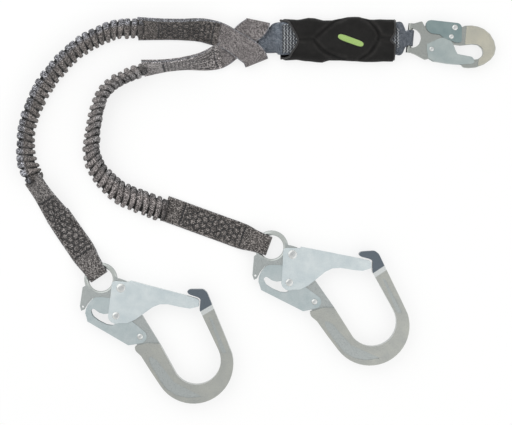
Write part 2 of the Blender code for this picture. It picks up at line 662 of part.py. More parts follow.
def yoke():
    """Grey webbing from one elastic leg, folded through the blue loop, to the other leg."""
    run = 3.7
    over_2 = 11.0
    over_1 = 13.8

    def flat(path, rolls, heights, widths):
        made = []
        for index, point in enumerate(path):
            ahead = flat_direction(path, index)
            side = Vector((-ahead.y, ahead.x, 0.0))
            roll = math.radians(rolls[index])
            sideways = side * math.cos(roll) + Vector((0.0, 0.0, math.sin(roll)))
            lift = 0.5 * widths[index] * abs(math.sin(roll))
            made.append(((point.x, point.y, max(heights[index], lift + 1.0)), sideways,
                         widths[index]))
        return made

    def fold(centre, sideways, low, high, inward):
        """Half a turn over the edge of the blue loop, from height low to height high."""
        radius = 0.5 * (high - low)
        made = []
        for step in range(7):
            turn = math.radians(-90.0 + 180.0 * step / 6)
            out = inward * (radius * math.cos(turn))
            made.append(((centre[0] + out.x, centre[1] + out.y,
                          low + radius + radius * math.sin(turn)), sideways, LEG_WIDTH - 2.0))
        return made

    top = (10.1, 244.6)
    bottom = (7.2, 197.0)
    top_side = Vector((-0.978, 0.21, 0.0))
    bottom_side = Vector((-0.928, -0.372, 0.0))
    path_2 = [Vector(p) for p in ((-134.5, 185.2), (-112.0, 187.6), (-88.0, 190.4),
                                  (-62.0, 194.0), (-40.0, 201.0), (-22.0, 214.0),
                                  (-6.0, 230.0))]
    path_1 = [Vector(p) for p in ((-140.5, 237.2), (-118.0, 236.6), (-92.0, 236.2),
                                  (-64.0, 235.4), (-42.0, 230.0), (-24.0, 221.0),
                                  (-8.0, 211.0))]
    rolls_2 = (62.0, 74.0, 72.0, 55.0, 20.0, 0.0, 0.0)
    rolls_1 = (40.0, 48.0, 48.0, 36.0, 14.0, 2.0, 0.0)
    heights_2 = (9.0, 9.0, 9.0, 9.0, 9.4, over_2, over_2)
    heights_1 = (9.0, 9.0, 9.0, 10.0, 13.4, over_1, over_1)
    widths = (35.0, 35.0, 35.0, 35.0, 33.0, 31.0, 33.0)
    stations = flat(path_2, rolls_2, heights_2, widths)
    stations += reversed(fold(top, top_side, run, over_2, Vector((0.21, 0.978, 0.0))))
    stations += fold(bottom, bottom_side, run, over_1, Vector((0.372, -0.928, 0.0)))
    other = [(centre, -Vector(side), width)
             for centre, side, width in flat(path_1, rolls_1, heights_1, widths)]
    stations += reversed(other)
    ribbon("yoke_strap", stations, "grey_webbing", 2)


def elastic(name, route, count):
    path = smooth_path(route, count)
    rings = []
    bands = []
    for index, point in enumerate(path):
        ahead = flat_direction(path, index)
        side = Vector((-ahead.y, ahead.x, 0.0))
        centre = Vector((point.x, point.y, SLEEVE_HALF_HEIGHT))
        rings.append([centre + side * x + Vector((0.0, 0.0, z)) for x, z in
                      oval(SLEEVE_HALF_WIDTH, SLEEVE_HALF_HEIGHT, 0.8, 12)])
        bands.append([centre + side * x + Vector((0.0, 0.0, z)) for x, z in
                      oval(SLEEVE_HALF_WIDTH - SLEEVE_WALL - 2.0,
                           SLEEVE_HALF_HEIGHT - SLEEVE_WALL - 2.5, 0.5, 8)])
    sleeve = add(name + "_elastic_sleeve", loft_mesh(name + "_elastic_sleeve", rings, False),
                 LAYOUT, parts, "grey_webbing")
    wall = sleeve.modifiers.new("wall", "SOLIDIFY")
    wall.thickness = SLEEVE_WALL * MM
    wall.offset = -1.0
    add(name + "_elastic_core", loft_mesh(name + "_elastic_core", bands, True),
        LAYOUT, parts, "elastic")


def absorber():
    count = 13
    rings = []
    for index in range(count):
        t = index / (count - 1)
        x = COVER_X[0] + (COVER_X[1] - COVER_X[0]) * t
        swell = math.sin(math.pi * (0.12 + 0.76 * t)) ** 0.5
        half_width = COVER_HALF_WIDTH * (0.86 + 0.14 * math.sin(math.pi * t) ** 0.6)
        half_height = COVER_HALF_HEIGHT * (0.72 + 0.28 * swell)
        centre = Vector((x, COVER_Y, COVER_HALF_HEIGHT))
        rings.append([centre + Vector((0.0, y, z)) for y, z in
                      oval(half_width, half_height, 0.7, 20)])
    cover = add("absorber_cover", loft_mesh("absorber_cover", rings, False),
                LAYOUT, parts, "black_cover")
    wall = cover.modifiers.new("wall", "SOLIDIFY")
    wall.thickness = COVER_WALL * MM
    wall.offset = -1.0
    sideways = Vector((0.0, 1.0, 0.0))
    near = COVER_X[0] + 33.0
    far = COVER_X[1] - 33.0
    pitch = WEB + 0.9
    stations = []
    for layer in range(5):
        z = COVER_HALF_HEIGHT + pitch * (layer - 2)
        ends = (near, far) if layer % 2 == 0 else (far, near)
        stations.append(((ends[0], COVER_Y, z), sideways, 40.0))
        stations.append(((ends[1], COVER_Y, z), sideways, 40.0))
        if layer < 4:
            outward = 1.0 if layer % 2 == 0 else -1.0
            for step in range(1, 5):
                turn = math.radians(-90.0 + 36.0 * step)
                stations.append(((ends[1] + outward * 0.5 * pitch * math.cos(turn), COVER_Y,
                                  z + 0.5 * pitch + 0.5 * pitch * math.sin(turn)),
                                 sideways, 40.0))
    ribbon("absorber_core", stations, "tear_webbing", 1)


def main():
    clear_scene()
    material("aluminium", (0.62, 0.61, 0.58), 1.0, 0.32)
    material("zinc", (0.74, 0.78, 0.80), 1.0, 0.36)
    material("plated_steel", (0.66, 0.64, 0.58), 1.0, 0.30)
    material("rivet", (0.78, 0.78, 0.76), 1.0, 0.22)
    material("spring", (0.55, 0.55, 0.55), 1.0, 0.35)
    material("grey_webbing", (0.42, 0.43, 0.42), 0.0, 0.85)
    material("blue_webbing", (0.19, 0.27, 0.36), 0.0, 0.8)
    material("black_webbing", (0.02, 0.02, 0.022), 0.0, 0.8)
    material("black_cover", (0.018, 0.018, 0.02), 0.0, 0.6)
    material("tear_webbing", (0.75, 0.72, 0.62), 0.0, 0.8)
    material("elastic", (0.08, 0.08, 0.08), 0.0, 0.9)
    for name, eye, turn, _ in HOOKS:
        hook(name, eye, turn)
    snap()
    lower_straps()
    bar_loop("snap_end_loop", COVER_X[1] - 27.0, SNAP_EYE[0], SNAP_MID, PACK_WIDTH, 21.0,
             "blue_webbing")
    leg_end_loop()
    yoke()
    elastic("leg_1", LEG_1_ELASTIC, 26)
    elastic("leg_2", LEG_2_ELASTIC, 26)
    absorber()
    bpy.context.view_layer.update()


main()
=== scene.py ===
"""Looks of a twin-leg shock absorbing lanyard lying flat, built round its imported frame.

Metres in Blender, +Z up.  Lengths below are written in millimetres, in the layout's own
coordinates, and LAYOUT carries them to the frame's origin.
"""
import math
import random

import bpy
import numpy as np
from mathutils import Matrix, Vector, noise


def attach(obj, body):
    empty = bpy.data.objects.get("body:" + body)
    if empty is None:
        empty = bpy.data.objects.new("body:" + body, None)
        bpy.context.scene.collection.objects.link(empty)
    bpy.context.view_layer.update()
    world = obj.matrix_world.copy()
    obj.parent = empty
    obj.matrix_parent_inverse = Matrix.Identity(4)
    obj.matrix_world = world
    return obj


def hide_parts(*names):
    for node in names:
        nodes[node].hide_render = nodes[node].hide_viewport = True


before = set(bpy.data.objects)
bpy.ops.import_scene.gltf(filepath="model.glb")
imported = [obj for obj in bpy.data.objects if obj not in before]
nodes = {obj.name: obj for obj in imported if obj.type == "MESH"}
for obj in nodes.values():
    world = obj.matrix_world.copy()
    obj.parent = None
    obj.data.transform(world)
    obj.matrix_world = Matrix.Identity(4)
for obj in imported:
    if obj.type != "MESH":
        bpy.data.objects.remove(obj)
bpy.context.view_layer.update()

MM = 0.001
LAYOUT = np.array((-6.3, 5.4, 0.0))
UP = np.array((0.0, 0.0, 1.0))
WEB = 1.8                      # webbing thickness
LEG_WIDTH = 35.0
PACK_WIDTH = 44.0              # webbing of the absorber
FLOOR = 0.02
GAP = 0.3                      # between layers of webbing
HOOKS = (                      # name, eye centre, turn and direction of its strap in degrees
    ("hook_1", (-200.5, -99.2), -3.5, 124.3), ("hook_2", (29.0, -56.0), 0.0, 160.0))
HOOK_MID = 10.0                # height of the large hooks' middle plane
NOSE_FROM = 108.0              # the hook's nose lies beyond this distance from its eye
NOSE_ACROSS = (-0.557, 0.83, 0.0)   # direction in which the coated arm turns into the nose
SNAP_EYE = (214.6, 225.4)
SNAP_TURN = math.radians(-5.5)
SNAP_MID = 8.0                 # height of the snap hook's middle plane
SNAP_BAR = 3.2                 # radius of the bar in the snap hook's eye
COVER_X = (39.0, 195.5)
COVER_Y = 224.6
COVER_RIM = 7.5                # height at which the cover's upper and lower faces meet
WAVE_REPEAT = 0.314            # a wave texture of scale 1 repeats at this distance
NOISE_SEED = 1795033809        # noise_vector draws by the clock unless it is seeded

noise.seed_set(NOISE_SEED)


# ---------------------------------------------------------------- materials
def start_material(name, roughness, metallic=0.0, **sockets):
    material = bpy.data.materials.new(name)
    material.use_nodes = True
    shader = material.node_tree.nodes["Principled BSDF"]
    shader.inputs["Roughness"].default_value = roughness
    shader.inputs["Metallic"].default_value = metallic
    for socket, value in sockets.items():
        shader.inputs[socket.replace("_", " ")].default_value = value
    return material, material.node_tree, shader


def put(tree, kind, inputs=None, **settings):
    node = tree.nodes.new("ShaderNode" + kind)
    for key, value in settings.items():
        setattr(node, key, value)
    for key, value in (inputs or {}).items():
        if isinstance(value, bpy.types.NodeSocket):
            tree.links.new(value, node.inputs[key])
        else:
            node.inputs[key].default_value = value
    return node


def ramp(tree, factor, stops, interpolation="LINEAR"):
    node = put(tree, "ValToRGB", {"Fac": factor})
    node.color_ramp.interpolation = interpolation
    while len(node.color_ramp.elements) < len(stops):
        node.color_ramp.elements.new(0.5)
    for element, (position, colour) in zip(node.color_ramp.elements, stops):
        element.position = position
        element.color = (*colour, 1.0)
    return node


def mix(tree, factor, first, second, blend="MIX"):
    node = put(tree, "Mix", data_type="RGBA", blend_type=blend)
    for index, value in ((0, factor), (6, first), (7, second)):
        if isinstance(value, bpy.types.NodeSocket):
            tree.links.new(value, node.inputs[index])
        elif index == 0:
            node.inputs[index].default_value = value
        else:
            node.inputs[index].default_value = (*value, 1.0)
    return node.outputs[2]


def calc(tree, operation, *values):
    """One of the Math node's operations on plain numbers or sockets."""
    return put(tree, "Math", dict(enumerate(values)), operation=operation).outputs[0]


def between(tree, value, low, high, **ends):
    """How far a value has come from low to high, both in metres or both plain numbers."""
    inputs = {"Value": value, "From Min": low, "From Max": high}
    inputs.update({key.replace("_", " "): end for key, end in ends.items()})
    return put(tree, "MapRange", inputs).outputs["Result"]


def tinted(tree, colour):
    """The colour, multiplied by the tint that the mesh carries, which holds each piece's own tone
    and also painted shade and painted highlights.
    """
    return mix(tree, 1.0, colour, put(tree, "VertexColor", layer_name="tint").outputs["Color"],
        "MULTIPLY")


def roughen(tree, shader, height, strength, distance):
    """Bumps the surface by the height, over a distance in millimetres."""
    bumped = put(tree, "Bump", {"Height": height, "Strength": strength,
            "Distance": distance * MM})
    tree.links.new(bumped.outputs["Normal"], shader.inputs["Normal"])


def yarn_material(name, dark, middle, light, across, along, twill, bump, pitch=2.0,
        distortion=1.2):
    """Woven webbing: separate yarns of random shade, a diagonal twill and a fine relief."""
    material, tree, shader = start_material(name, 0.82, Sheen_Weight=0.25,
        Sheen_Roughness=0.45, Specular_IOR_Level=0.3)
    place = put(tree, "UVMap", uv_map="weave").outputs["UV"]
    spread = put(tree, "Mapping", {"Vector": place,
            "Scale": (1.0 / (across * MM), 1.0 / (along * MM), 1.0)})
    wander = put(tree, "TexNoise", {"Vector": spread.outputs["Vector"], "Scale": 0.7,
            "Detail": 1.0})
    bent = mix(tree, 0.22, spread.outputs["Vector"], wander.outputs["Color"], "ADD")
    yarns = put(tree, "TexVoronoi", {"Vector": bent, "Scale": 1.0, "Randomness": 0.85},
        voronoi_dimensions="2D")
    value = put(tree, "SeparateColor", {"Color": yarns.outputs["Color"]}).outputs["Red"]
    diagonal = put(tree, "Mapping", {"Vector": place, "Rotation": (0.0, 0.0, 0.72)})
    lines = put(tree, "TexWave", {"Vector": diagonal.outputs["Vector"],
            "Scale": WAVE_REPEAT / (pitch * MM), "Distortion": distortion,
            "Detail": 1.0, "Detail Scale": 1.5})
    shifted = calc(tree, "SUBTRACT", lines.outputs["Fac"], 0.5)
    colour = ramp(tree, calc(tree, "MULTIPLY_ADD", shifted, twill, value),
        ((0.12, dark), (0.42, middle), (0.66, middle), (0.92, light)))
    patches = put(tree, "TexNoise", {"Vector": place, "Scale": 45.0, "Detail": 3.0})
    mottle = ramp(tree, patches.outputs["Fac"], ((0.3, (0.86,) * 3), (0.7, (1.1,) * 3)))
    colour = mix(tree, 1.0, colour.outputs["Color"], mottle.outputs["Color"], "MULTIPLY")
    tree.links.new(tinted(tree, colour), shader.inputs["Base Color"])
    round_yarn = calc(tree, "SUBTRACT", 1.0, yarns.outputs["Distance"])
    relief = calc(tree, "MULTIPLY_ADD", lines.outputs["Fac"], 0.5 * twill, round_yarn)
    roughen(tree, shader, relief, bump, 0.5)
    return material


def thread_material(name, colour):
    material, tree, shader = start_material(name, 0.6, Sheen_Weight=0.3)
    place = put(tree, "TexCoord").outputs["Object"]
    strands = put(tree, "TexNoise", {"Vector": place, "Scale": 2600.0, "Detail": 2.0})
    shades = ramp(tree, strands.outputs["Fac"], ((0.35, [0.55 * c for c in colour]),
            (0.65, [1.3 * c for c in colour])))
    tree.links.new(shades.outputs["Color"], shader.inputs["Base Color"])
    roughen(tree, shader, strands.outputs["Fac"], 0.5, 0.2)
    return material


def metal_material(name, colour, other, roughness, grain, marks, recess=None, nose=None):
    """Plated or forged metal: cloudy colour, uneven polish and a fine surface grain.
    recess is (middle height, height of the proud face, colour below it), in millimetres.
    nose is (eye centre, turn in degrees) of a hook whose nose is left dark and polished."""
    material, tree, shader = start_material(name, roughness, 1.0)
    place = put(tree, "TexCoord").outputs["Object"]
    clouds = put(tree, "TexNoise", {"Vector": place, "Scale": 60.0, "Detail": 6.0,
            "Roughness": 0.6})
    fine = put(tree, "TexNoise", {"Vector": place, "Scale": grain,
            "Detail": 4.0, "Roughness": 0.65})
    tone = ramp(tree, clouds.outputs["Fac"], ((0.3, other), (0.68, colour)))
    shade = tone.outputs["Color"]
    if recess:
        middle, proud, low_colour = recess
        height = put(tree, "SeparateXYZ", {"Vector": place}).outputs["Z"]
        away = calc(tree, "ABSOLUTE", calc(tree, "SUBTRACT", height, middle * MM))
        share = between(tree, away, (proud - 0.7) * MM, proud * MM)
        shade = mix(tree, share, low_colour, shade)
    if nose:
        eye, turn = nose
        eye = (np.array((*eye, 0.0)) + LAYOUT) * MM
        local = put(tree, "Mapping", {"Vector": place, "Location": tuple(eye),
                "Rotation": (0.0, 0.0, math.radians(turn))},
            vector_type="TEXTURE").outputs["Vector"]
        forward = put(tree, "SeparateXYZ", {"Vector": local}).outputs["X"]
        ahead = calc(tree, "GREATER_THAN", forward, NOSE_FROM * MM)
        past = put(tree, "VectorMath", {0: local, 1: NOSE_ACROSS},
            operation="DOT_PRODUCT").outputs["Value"]
        for start, end, tone in ((-111.4, -110.6, (0.68, 0.70, 0.69)),
                (-105.0, -104.4, (0.145, 0.17, 0.195))):
            side = between(tree, past, start * MM, end * MM)
            shade = mix(tree, calc(tree, "MULTIPLY", side, ahead), shade, tone)
    specks = ramp(tree, fine.outputs["Fac"], ((0.3, (1.0 - marks,) * 3), (0.62, (1.0, 1.0, 1.0))))
    shade = mix(tree, 1.0, shade, specks.outputs["Color"], "MULTIPLY")
    tree.links.new(shade, shader.inputs["Base Color"])
    polish = between(tree, fine.outputs["Fac"], 0.25, 0.75, To_Min=roughness - 0.07,
        To_Max=roughness + 0.1)
    tree.links.new(polish, shader.inputs["Roughness"])
    roughen(tree, shader, fine.outputs["Fac"], 0.25, 0.12)
    return material


def cover_material(name):
    """Black cover cloth: a tight plain weave with a soft nap and dusty wear."""
    material, tree, shader = start_material(name, 0.62, Sheen_Weight=0.02, Sheen_Roughness=0.4,
        Specular_IOR_Level=0.2)
    place = put(tree, "TexCoord").outputs["Object"]
    rows, picks = (put(tree, "TexWave", {"Vector": place, "Scale": WAVE_REPEAT / (0.9 * MM),
                "Distortion": 0.6}, bands_direction=run).outputs["Fac"]
        for run in "XY")
    weave = calc(tree, "MULTIPLY", rows, picks)
    dust = put(tree, "TexNoise", {"Vector": place, "Scale": 70.0, "Detail": 8.0,
            "Roughness": 0.7})
    shade = ramp(tree, dust.outputs["Fac"], ((0.35, (0.004, 0.0038, 0.0037)),
            (0.7, (0.011, 0.0102, 0.0098))))
    lifted = mix(tree, weave, shade.outputs["Color"], (0.02, 0.0185, 0.018))
    colour = mix(tree, 0.35, shade.outputs["Color"], lifted)
    tree.links.new(tinted(tree, colour), shader.inputs["Base Color"])
    roughen(tree, shader, weave, 0.45, 0.25)
    return material


grey = yarn_material("heather_grey_webbing", (0.028, 0.026, 0.027), (0.135, 0.127, 0.125),
    (0.56, 0.54, 0.535), 0.85, 1.3, 0.4, 0.9)
twill_grey = yarn_material("twill_grey_webbing", (0.05, 0.047, 0.048), (0.18, 0.168, 0.168),
    (0.50, 0.475, 0.475), 0.8, 1.1, 1.0, 0.9, 1.6, 0.15)
blue = yarn_material("blue_grey_webbing", (0.05, 0.06, 0.075), (0.105, 0.12, 0.145),
    (0.22, 0.245, 0.285), 0.8, 1.3, 0.5, 0.7)
black = yarn_material("black_webbing", (0.006, 0.006, 0.007), (0.012, 0.012, 0.013),
    (0.03, 0.03, 0.032), 0.9, 1.5, 0.5, 0.8)
natural = yarn_material("tear_webbing", (0.42, 0.39, 0.3), (0.55, 0.51, 0.41),
    (0.7, 0.67, 0.58), 0.9, 1.5, 0.5, 0.8)
dark_thread = thread_material("dark_thread", (0.02, 0.02, 0.024))
pale_thread = thread_material("pale_thread", (0.62, 0.64, 0.66))
cover_cloth = cover_material("black_cover_cloth")
hem_cloth = thread_material("black_hem_cloth", (0.014, 0.013, 0.013))
forged = {name: metal_material("forged_aluminium_" + name, (0.48, 0.485, 0.445),
        (0.41, 0.42, 0.40), 0.3, 900.0, 0.14,
        (HOOK_MID, 9.2, (0.44, 0.465, 0.455)), (eye, turn))
    for name, eye, turn, _ in HOOKS}
zinc = metal_material("zinc_sheet", (0.74, 0.795, 0.80), (0.61, 0.68, 0.70), 0.34, 1500.0,
    0.25)
lever_zinc = metal_material("lever_zinc_sheet", (0.56, 0.61, 0.615), (0.45, 0.52, 0.53), 0.36,
    1500.0, 0.25)
plated = metal_material("plated_steel", (0.58, 0.555, 0.46), (0.48, 0.47, 0.41), 0.3, 1200.0,
    0.14, (SNAP_MID, 4.9, (0.37, 0.385, 0.365)))
snap_zinc = metal_material("dull_zinc_sheet", (0.46, 0.51, 0.50), (0.37, 0.43, 0.43), 0.37,
    1500.0, 0.2)
lock_zinc = metal_material("dark_zinc_sheet", (0.29, 0.36, 0.36), (0.22, 0.29, 0.295), 0.37,
    1500.0, 0.2)
polished = metal_material("polished_rivet", (0.66, 0.67, 0.66), (0.52, 0.53, 0.53), 0.25,
    1200.0, 0.1)
spring_wire = metal_material("spring_wire", (0.5, 0.5, 0.5), (0.4, 0.4, 0.41), 0.3, 1500.0,
    0.2)


# ---------------------------------------------------------------- shapes
def add_soft(name, data, look):
    """A new piece of the webbing body, with its look."""
    data.materials.append(look)
    piece = bpy.data.objects.new(name, data)
    bpy.context.scene.collection.objects.link(piece)
    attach(piece, "webbing")
    return piece


def eased(rows):
    """The same rows, with one more beside each end of a run that meets a much shorter one."""
    gaps = np.linalg.norm(np.diff(rows[:, :3], axis=0), axis=1)
    made = [rows[0]]
    for index, gap in enumerate(gaps):
        before = gaps[index - 1] if index else gap
        after = gaps[index + 1] if index + 1 < len(gaps) else gap
        if gap > 4 * before:
            made.append(rows[index] + (rows[index + 1] - rows[index]) * 2 * before / gap)
        if gap > 4 * after:
            made.append(rows[index + 1] + (rows[index] - rows[index + 1]) * 2 * after / gap)
        made.append(rows[index + 1])
    return np.array(made)


def smooth_rows(rows, step, ease=False):
    """Rows of numbers, of which the first three are a point, at an even fine spacing."""
    rows = np.array(rows, float)
    if ease:
        rows = eased(eased(rows))
    gaps = np.linalg.norm(np.diff(rows[:, :3], axis=0), axis=1)
    slopes = np.zeros_like(rows)
    for index in range(1, len(rows) - 1):
        before, after = gaps[index - 1], gaps[index]
        slopes[index] = ((rows[index + 1] - rows[index]) / after * before
            + (rows[index] - rows[index - 1]) / before * after) / (before + after)
    slopes[0] = (rows[1] - rows[0]) / gaps[0]
    slopes[-1] = (rows[-1] - rows[-2]) / gaps[-1]
    fine = []
    for index, gap in enumerate(gaps):
        count = max(2, math.ceil(4 * gap / step))
        for t in np.arange(count) / count:
            fine.append((2 * t ** 3 - 3 * t ** 2 + 1) * rows[index]
                + (t ** 3 - 2 * t ** 2 + t) * gap * slopes[index]
                + (3 * t ** 2 - 2 * t ** 3) * rows[index + 1]
                + (t ** 3 - t ** 2) * gap * slopes[index + 1])
    fine.append(rows[-1])
    fine = np.array(fine)
    along = np.concatenate(([0.0], np.cumsum(np.linalg.norm(np.diff(fine[:, :3], axis=0),
                axis=1))))
    count = max(2, round(along[-1] / step) + 1)
    spots = np.linspace(0.0, along[-1], count)
    return np.stack([np.interp(spots, along, fine[:, k]) for k in range(rows.shape[1])],
        axis=1), spots


def thicken(piece, thickness):
    wall = piece.modifiers.new("wall", "SOLIDIFY")
    wall.thickness = thickness * MM
    wall.offset = -1.0


def unit(v):
    return v / np.maximum(np.linalg.norm(v, axis=-1, keepdims=True), 1e-9)


def skin(name, points, uv, tint, look, closed_ends=True):
    """A mesh over a grid of points, rows by ring, in millimetres.  The ring closes on itself.
    uv is (distance round each ring, distance along, length of the way round)."""
    rows, count = points.shape[:2]
    points = points + LAYOUT
    points[..., 2] = np.maximum(points[..., 2], 0.02)
    index = np.arange(rows * count).reshape(rows, count)
    beside = np.roll(index, -1, axis=1)
    faces = np.stack((index[:-1], beside[:-1], beside[1:], index[1:]), axis=-1).reshape(-1, 4)
    face_list = [tuple(map(int, face)) for face in faces]
    caps = []
    if closed_ends:
        caps = [tuple(map(int, index[0][::-1])), tuple(map(int, index[-1]))]
    mesh = bpy.data.meshes.new(name)
    mesh.from_pydata((points.reshape(-1, 3) * MM).tolist(), [], face_list + caps)
    layer = mesh.uv_layers.new(name="weave")
    u = np.concatenate((uv[0], uv[0][:, :1] + uv[2]), axis=1)
    v = np.concatenate((uv[1], uv[1][:, :1]), axis=1)
    corners = []
    for grid in (u, v):
        corners.append(np.stack((grid[:-1, :-1], grid[:-1, 1:], grid[1:, 1:], grid[1:, :-1]),
                axis=-1).reshape(-1))
    flat = np.stack(corners, axis=-1)
    for ring_at in ((0, -1) if closed_ends else ()):
        ends = np.stack((uv[0][ring_at], uv[1][ring_at]), axis=-1)
        flat = np.concatenate((flat, ends[::-1] if ring_at == 0 else ends))
    layer.data.foreach_set("uv", (flat * MM).astype(np.float32).ravel())
    colour = mesh.color_attributes.new("tint", "FLOAT_COLOR", "POINT")
    full = np.concatenate((tint, np.ones(tint.shape[:2] + (1,))), axis=-1)
    colour.data.foreach_set("color", full.astype(np.float32).ravel())
    mesh.shade_smooth()
    mesh.validate()
    return add_soft(name, mesh, look)


class Strap:
    """A run of webbing through stations of (centre, sideways direction, width)."""

    def __init__(self, stations, thick=WEB, step=1.1, ease=False):
        rows, self.at = smooth_rows([(*c, *np.array(s) / np.linalg.norm(s), w)
                for c, s, w in stations], step, ease)
        self.centre = rows[:, :3]
        self.along = unit(np.gradient(self.centre, axis=0))
        side = rows[:, 3:6]
        side = side - self.along * np.sum(side * self.along, axis=1, keepdims=True)
        self.side = unit(side)
        self.up = np.cross(self.along, self.side)
        if self.up[0][2] < 0.0:
            self.side, self.up = -self.side, -self.up
        self.width = rows[:, 6]
        self.thick = thick
        self.length = self.at[-1]

    def point(self, across, at, lift=0.0):
        """A point on the upper face, across from the middle and at a distance from the start."""
        def value(rows):
            return np.array([np.interp(at, self.at, rows[:, k]) for k in range(3)])
        up = value(self.up)
        return (value(self.centre) + value(self.side) * across
            + up * (0.5 * self.thick + lift)), up

    def build(self, name, look, cols=34, tint=(1.0, 1.0, 1.0), relief=None,
            edge_tint=None, wave=0.25, seed=1):
        edge = 0.5 * self.thick
        half = 0.5 * self.width[:, None] - edge
        across = np.linspace(-1.0, 1.0, cols + 1)[None, :] * half
        turn = np.radians(np.array((60.0, 20.0, -20.0, -60.0)))
        rows = len(self.at)
        top = np.full(across.shape, edge)
        if relief is not None:
            top = top + relief(across, np.repeat(self.at[:, None], cols + 1, axis=1))
        right = half + edge * np.cos(turn)[None, :]
        right_z = np.repeat(edge * np.sin(turn)[None, :], rows, axis=0)
        left = -half - edge * np.cos(turn)[None, ::-1]
        left_z = right_z[:, ::-1]
        x = np.concatenate((across, right, across[:, ::-1], left), axis=1)
        z = np.concatenate((top, right_z, np.full(across.shape, -edge), left_z), axis=1)
        spots = (-15.0, 0.0, 15.0)
        lift = [[noise.noise(Vector((0.02 * s, 0.03 * u, seed))) for u in spots]
            for s in self.at]
        waves = np.stack([np.interp(ring, spots, lifts) for ring, lifts in zip(x, lift)])
        z = z + wave * waves
        points = (self.centre[:, None, :] + self.side[:, None, :] * x[..., None]
            + self.up[:, None, :] * z[..., None])
        steps = np.zeros_like(x)
        steps[:, 1:] = np.cumsum(np.abs(np.diff(x, axis=1)) + 0.6 * np.abs(np.diff(z, axis=1)),
            axis=1)
        around = float(np.median(steps[:, -1])) + 0.6
        v = np.repeat(self.at[:, None], x.shape[1], axis=1) + 40.0 * seed
        shade = np.ones(points.shape) * np.array(tint)
        if relief is not None:
            # Painted shade: the upper face is darkened where its relief sinks into the sewn
            # grooves.
            painted_groove_shade = np.clip(-(top - edge) / 0.5, 0.0, 1.0)
            shade[:, :cols + 1] *= (1.0 - 0.62 * painted_groove_shade)[..., None]
        if edge_tint is not None:
            beyond = np.abs(x) > half - 0.4
            shade[beyond] = np.array(edge_tint)
        return skin(name, points, (steps, v, around), shade, look)


def dashes(name, lines, radius, look, sides=6):
    """Stitches: each line is (points, upward directions) of one stitch, thin at its ends."""
    all_points, faces = [], []
    for points, ups in lines:
        count = len(points)
        ahead = unit(np.gradient(points, axis=0))
        beside = unit(np.cross(ups, ahead))
        ups = np.cross(ahead, beside)
        base = len(all_points)
        for k in range(count):
            t = k / (count - 1)
            fat = radius * (0.35 + 0.65 * math.sin(math.pi * t) ** 0.5)
            for s in range(sides):
                angle = 2 * math.pi * s / sides
                all_points.append(points[k] + beside[k] * fat * math.cos(angle)
                    + ups[k] * fat * math.sin(angle))
        for k in range(count - 1):
            for s in range(sides):
                a = base + k * sides + s
                b = base + k * sides + (s + 1) % sides
                faces.append((a, b, b + sides, a + sides))
        faces.append(tuple(range(base + sides - 1, base - 1, -1)))
        last = base + (count - 1) * sides
        faces.append(tuple(range(last, last + sides)))
    mesh = bpy.data.meshes.new(name)
    mesh.from_pydata(((np.array(all_points) + LAYOUT) * MM).tolist(), [], faces)
    mesh.shade_smooth()
    return add_soft(name, mesh, look)


def sew(strap, lines, length=2.3, gap=0.8, height=0.25):
    """Running stitches along lines of (across, at) on a strap's upper face."""
    made = []
    for line in lines:
        line = np.array(line, float)
        runs = np.concatenate(([0.0], np.cumsum(np.linalg.norm(np.diff(line, axis=0), axis=1))))
        count = max(1, round((runs[-1] + gap) / (length + gap)))
        pitch = (runs[-1] + gap) / count
        for k in range(count):
            ends = (k * pitch, k * pitch + pitch - gap)
            points, ups = [], []
            for t in np.linspace(0.0, 1.0, 5):
                spot = ends[0] + (ends[1] - ends[0]) * t
                across = np.interp(spot, runs, line[:, 0])
                at = np.interp(spot, runs, line[:, 1])
                lift = height * math.sin(math.pi * t) - 0.25 * (1 - math.sin(math.pi * t))
                point, up = strap.point(across, at, lift)
                points.append(point)
                ups.append(up)
            made.append((np.array(points), np.array(ups)))
    return made


def comb(cell, wide, start, end):
    """The sides of a honeycomb of sewn cells between two distances along a strap."""
    edge = cell / math.sqrt(3.0)
    lines = set()
    rows = int((end - start) / (1.5 * edge)) + 2
    cols = int(wide / cell) + 3
    for row in range(-1, rows):
        for col in range(-cols, cols + 1):
            x = cell * (col + 0.5 * (row % 2))
            y = start + edge + 1.5 * edge * row
            corners = [(x + edge * math.sin(math.radians(60 * k)),
                    y + edge * math.cos(math.radians(60 * k))) for k in range(6)]
            for k in range(6):
                a, b = corners[k], corners[(k + 1) % 6]
                if all(abs(p[0]) <= 0.5 * wide and start <= p[1] <= end for p in (a, b)):
                    key = tuple(sorted(((round(a[0], 2), round(a[1], 2)),
                                (round(b[0], 2), round(b[1], 2)))))
                    lines.add(key)
    return sorted(lines)


def groove(lines, depth, reach):
    """Relief that sinks along the given lines and is puffed between them."""
    starts = np.array([line[0] for line in lines])
    ends = np.array([line[1] for line in lines])
    runs = ends - starts
    sizes = np.maximum(np.sum(runs ** 2, axis=1), 1e-9)

    def relief(across, at):
        spots = np.stack((across, at), axis=-1).reshape(-1, 1, 2)
        t = np.clip(np.sum((spots - starts) * runs, axis=-1) / sizes, 0.0, 1.0)
        away = np.linalg.norm(spots - starts - t[..., None] * runs, axis=-1).min(axis=1)
        return (-depth * np.exp(-(away / reach) ** 2)).reshape(across.shape)
    return relief


def zigzag(across, at, wide, pitch):
    """A bar of zigzag stitching across a strap at a distance along it."""
    count = max(2, round(wide / pitch))
    return [(across - 0.5 * wide + wide * k / count, at + (1.3 if k % 2 else -1.3))
        for k in range(count + 1)]


def leg_sewing(names, strap, cells, gap, ends):
    """The dark sewing of a leg's strap, closed off by a bar of zigzag at each end."""
    dashes(names[0], sew(strap, cells, 2.2, gap, 0.15), 0.5, dark_thread)
    bars = [zigzag(0.0, at, 28.0, 1.5) for at in ends]
    dashes(names[1], sew(strap, bars, 2.4, 0.1, 0.3), 0.6, dark_thread)


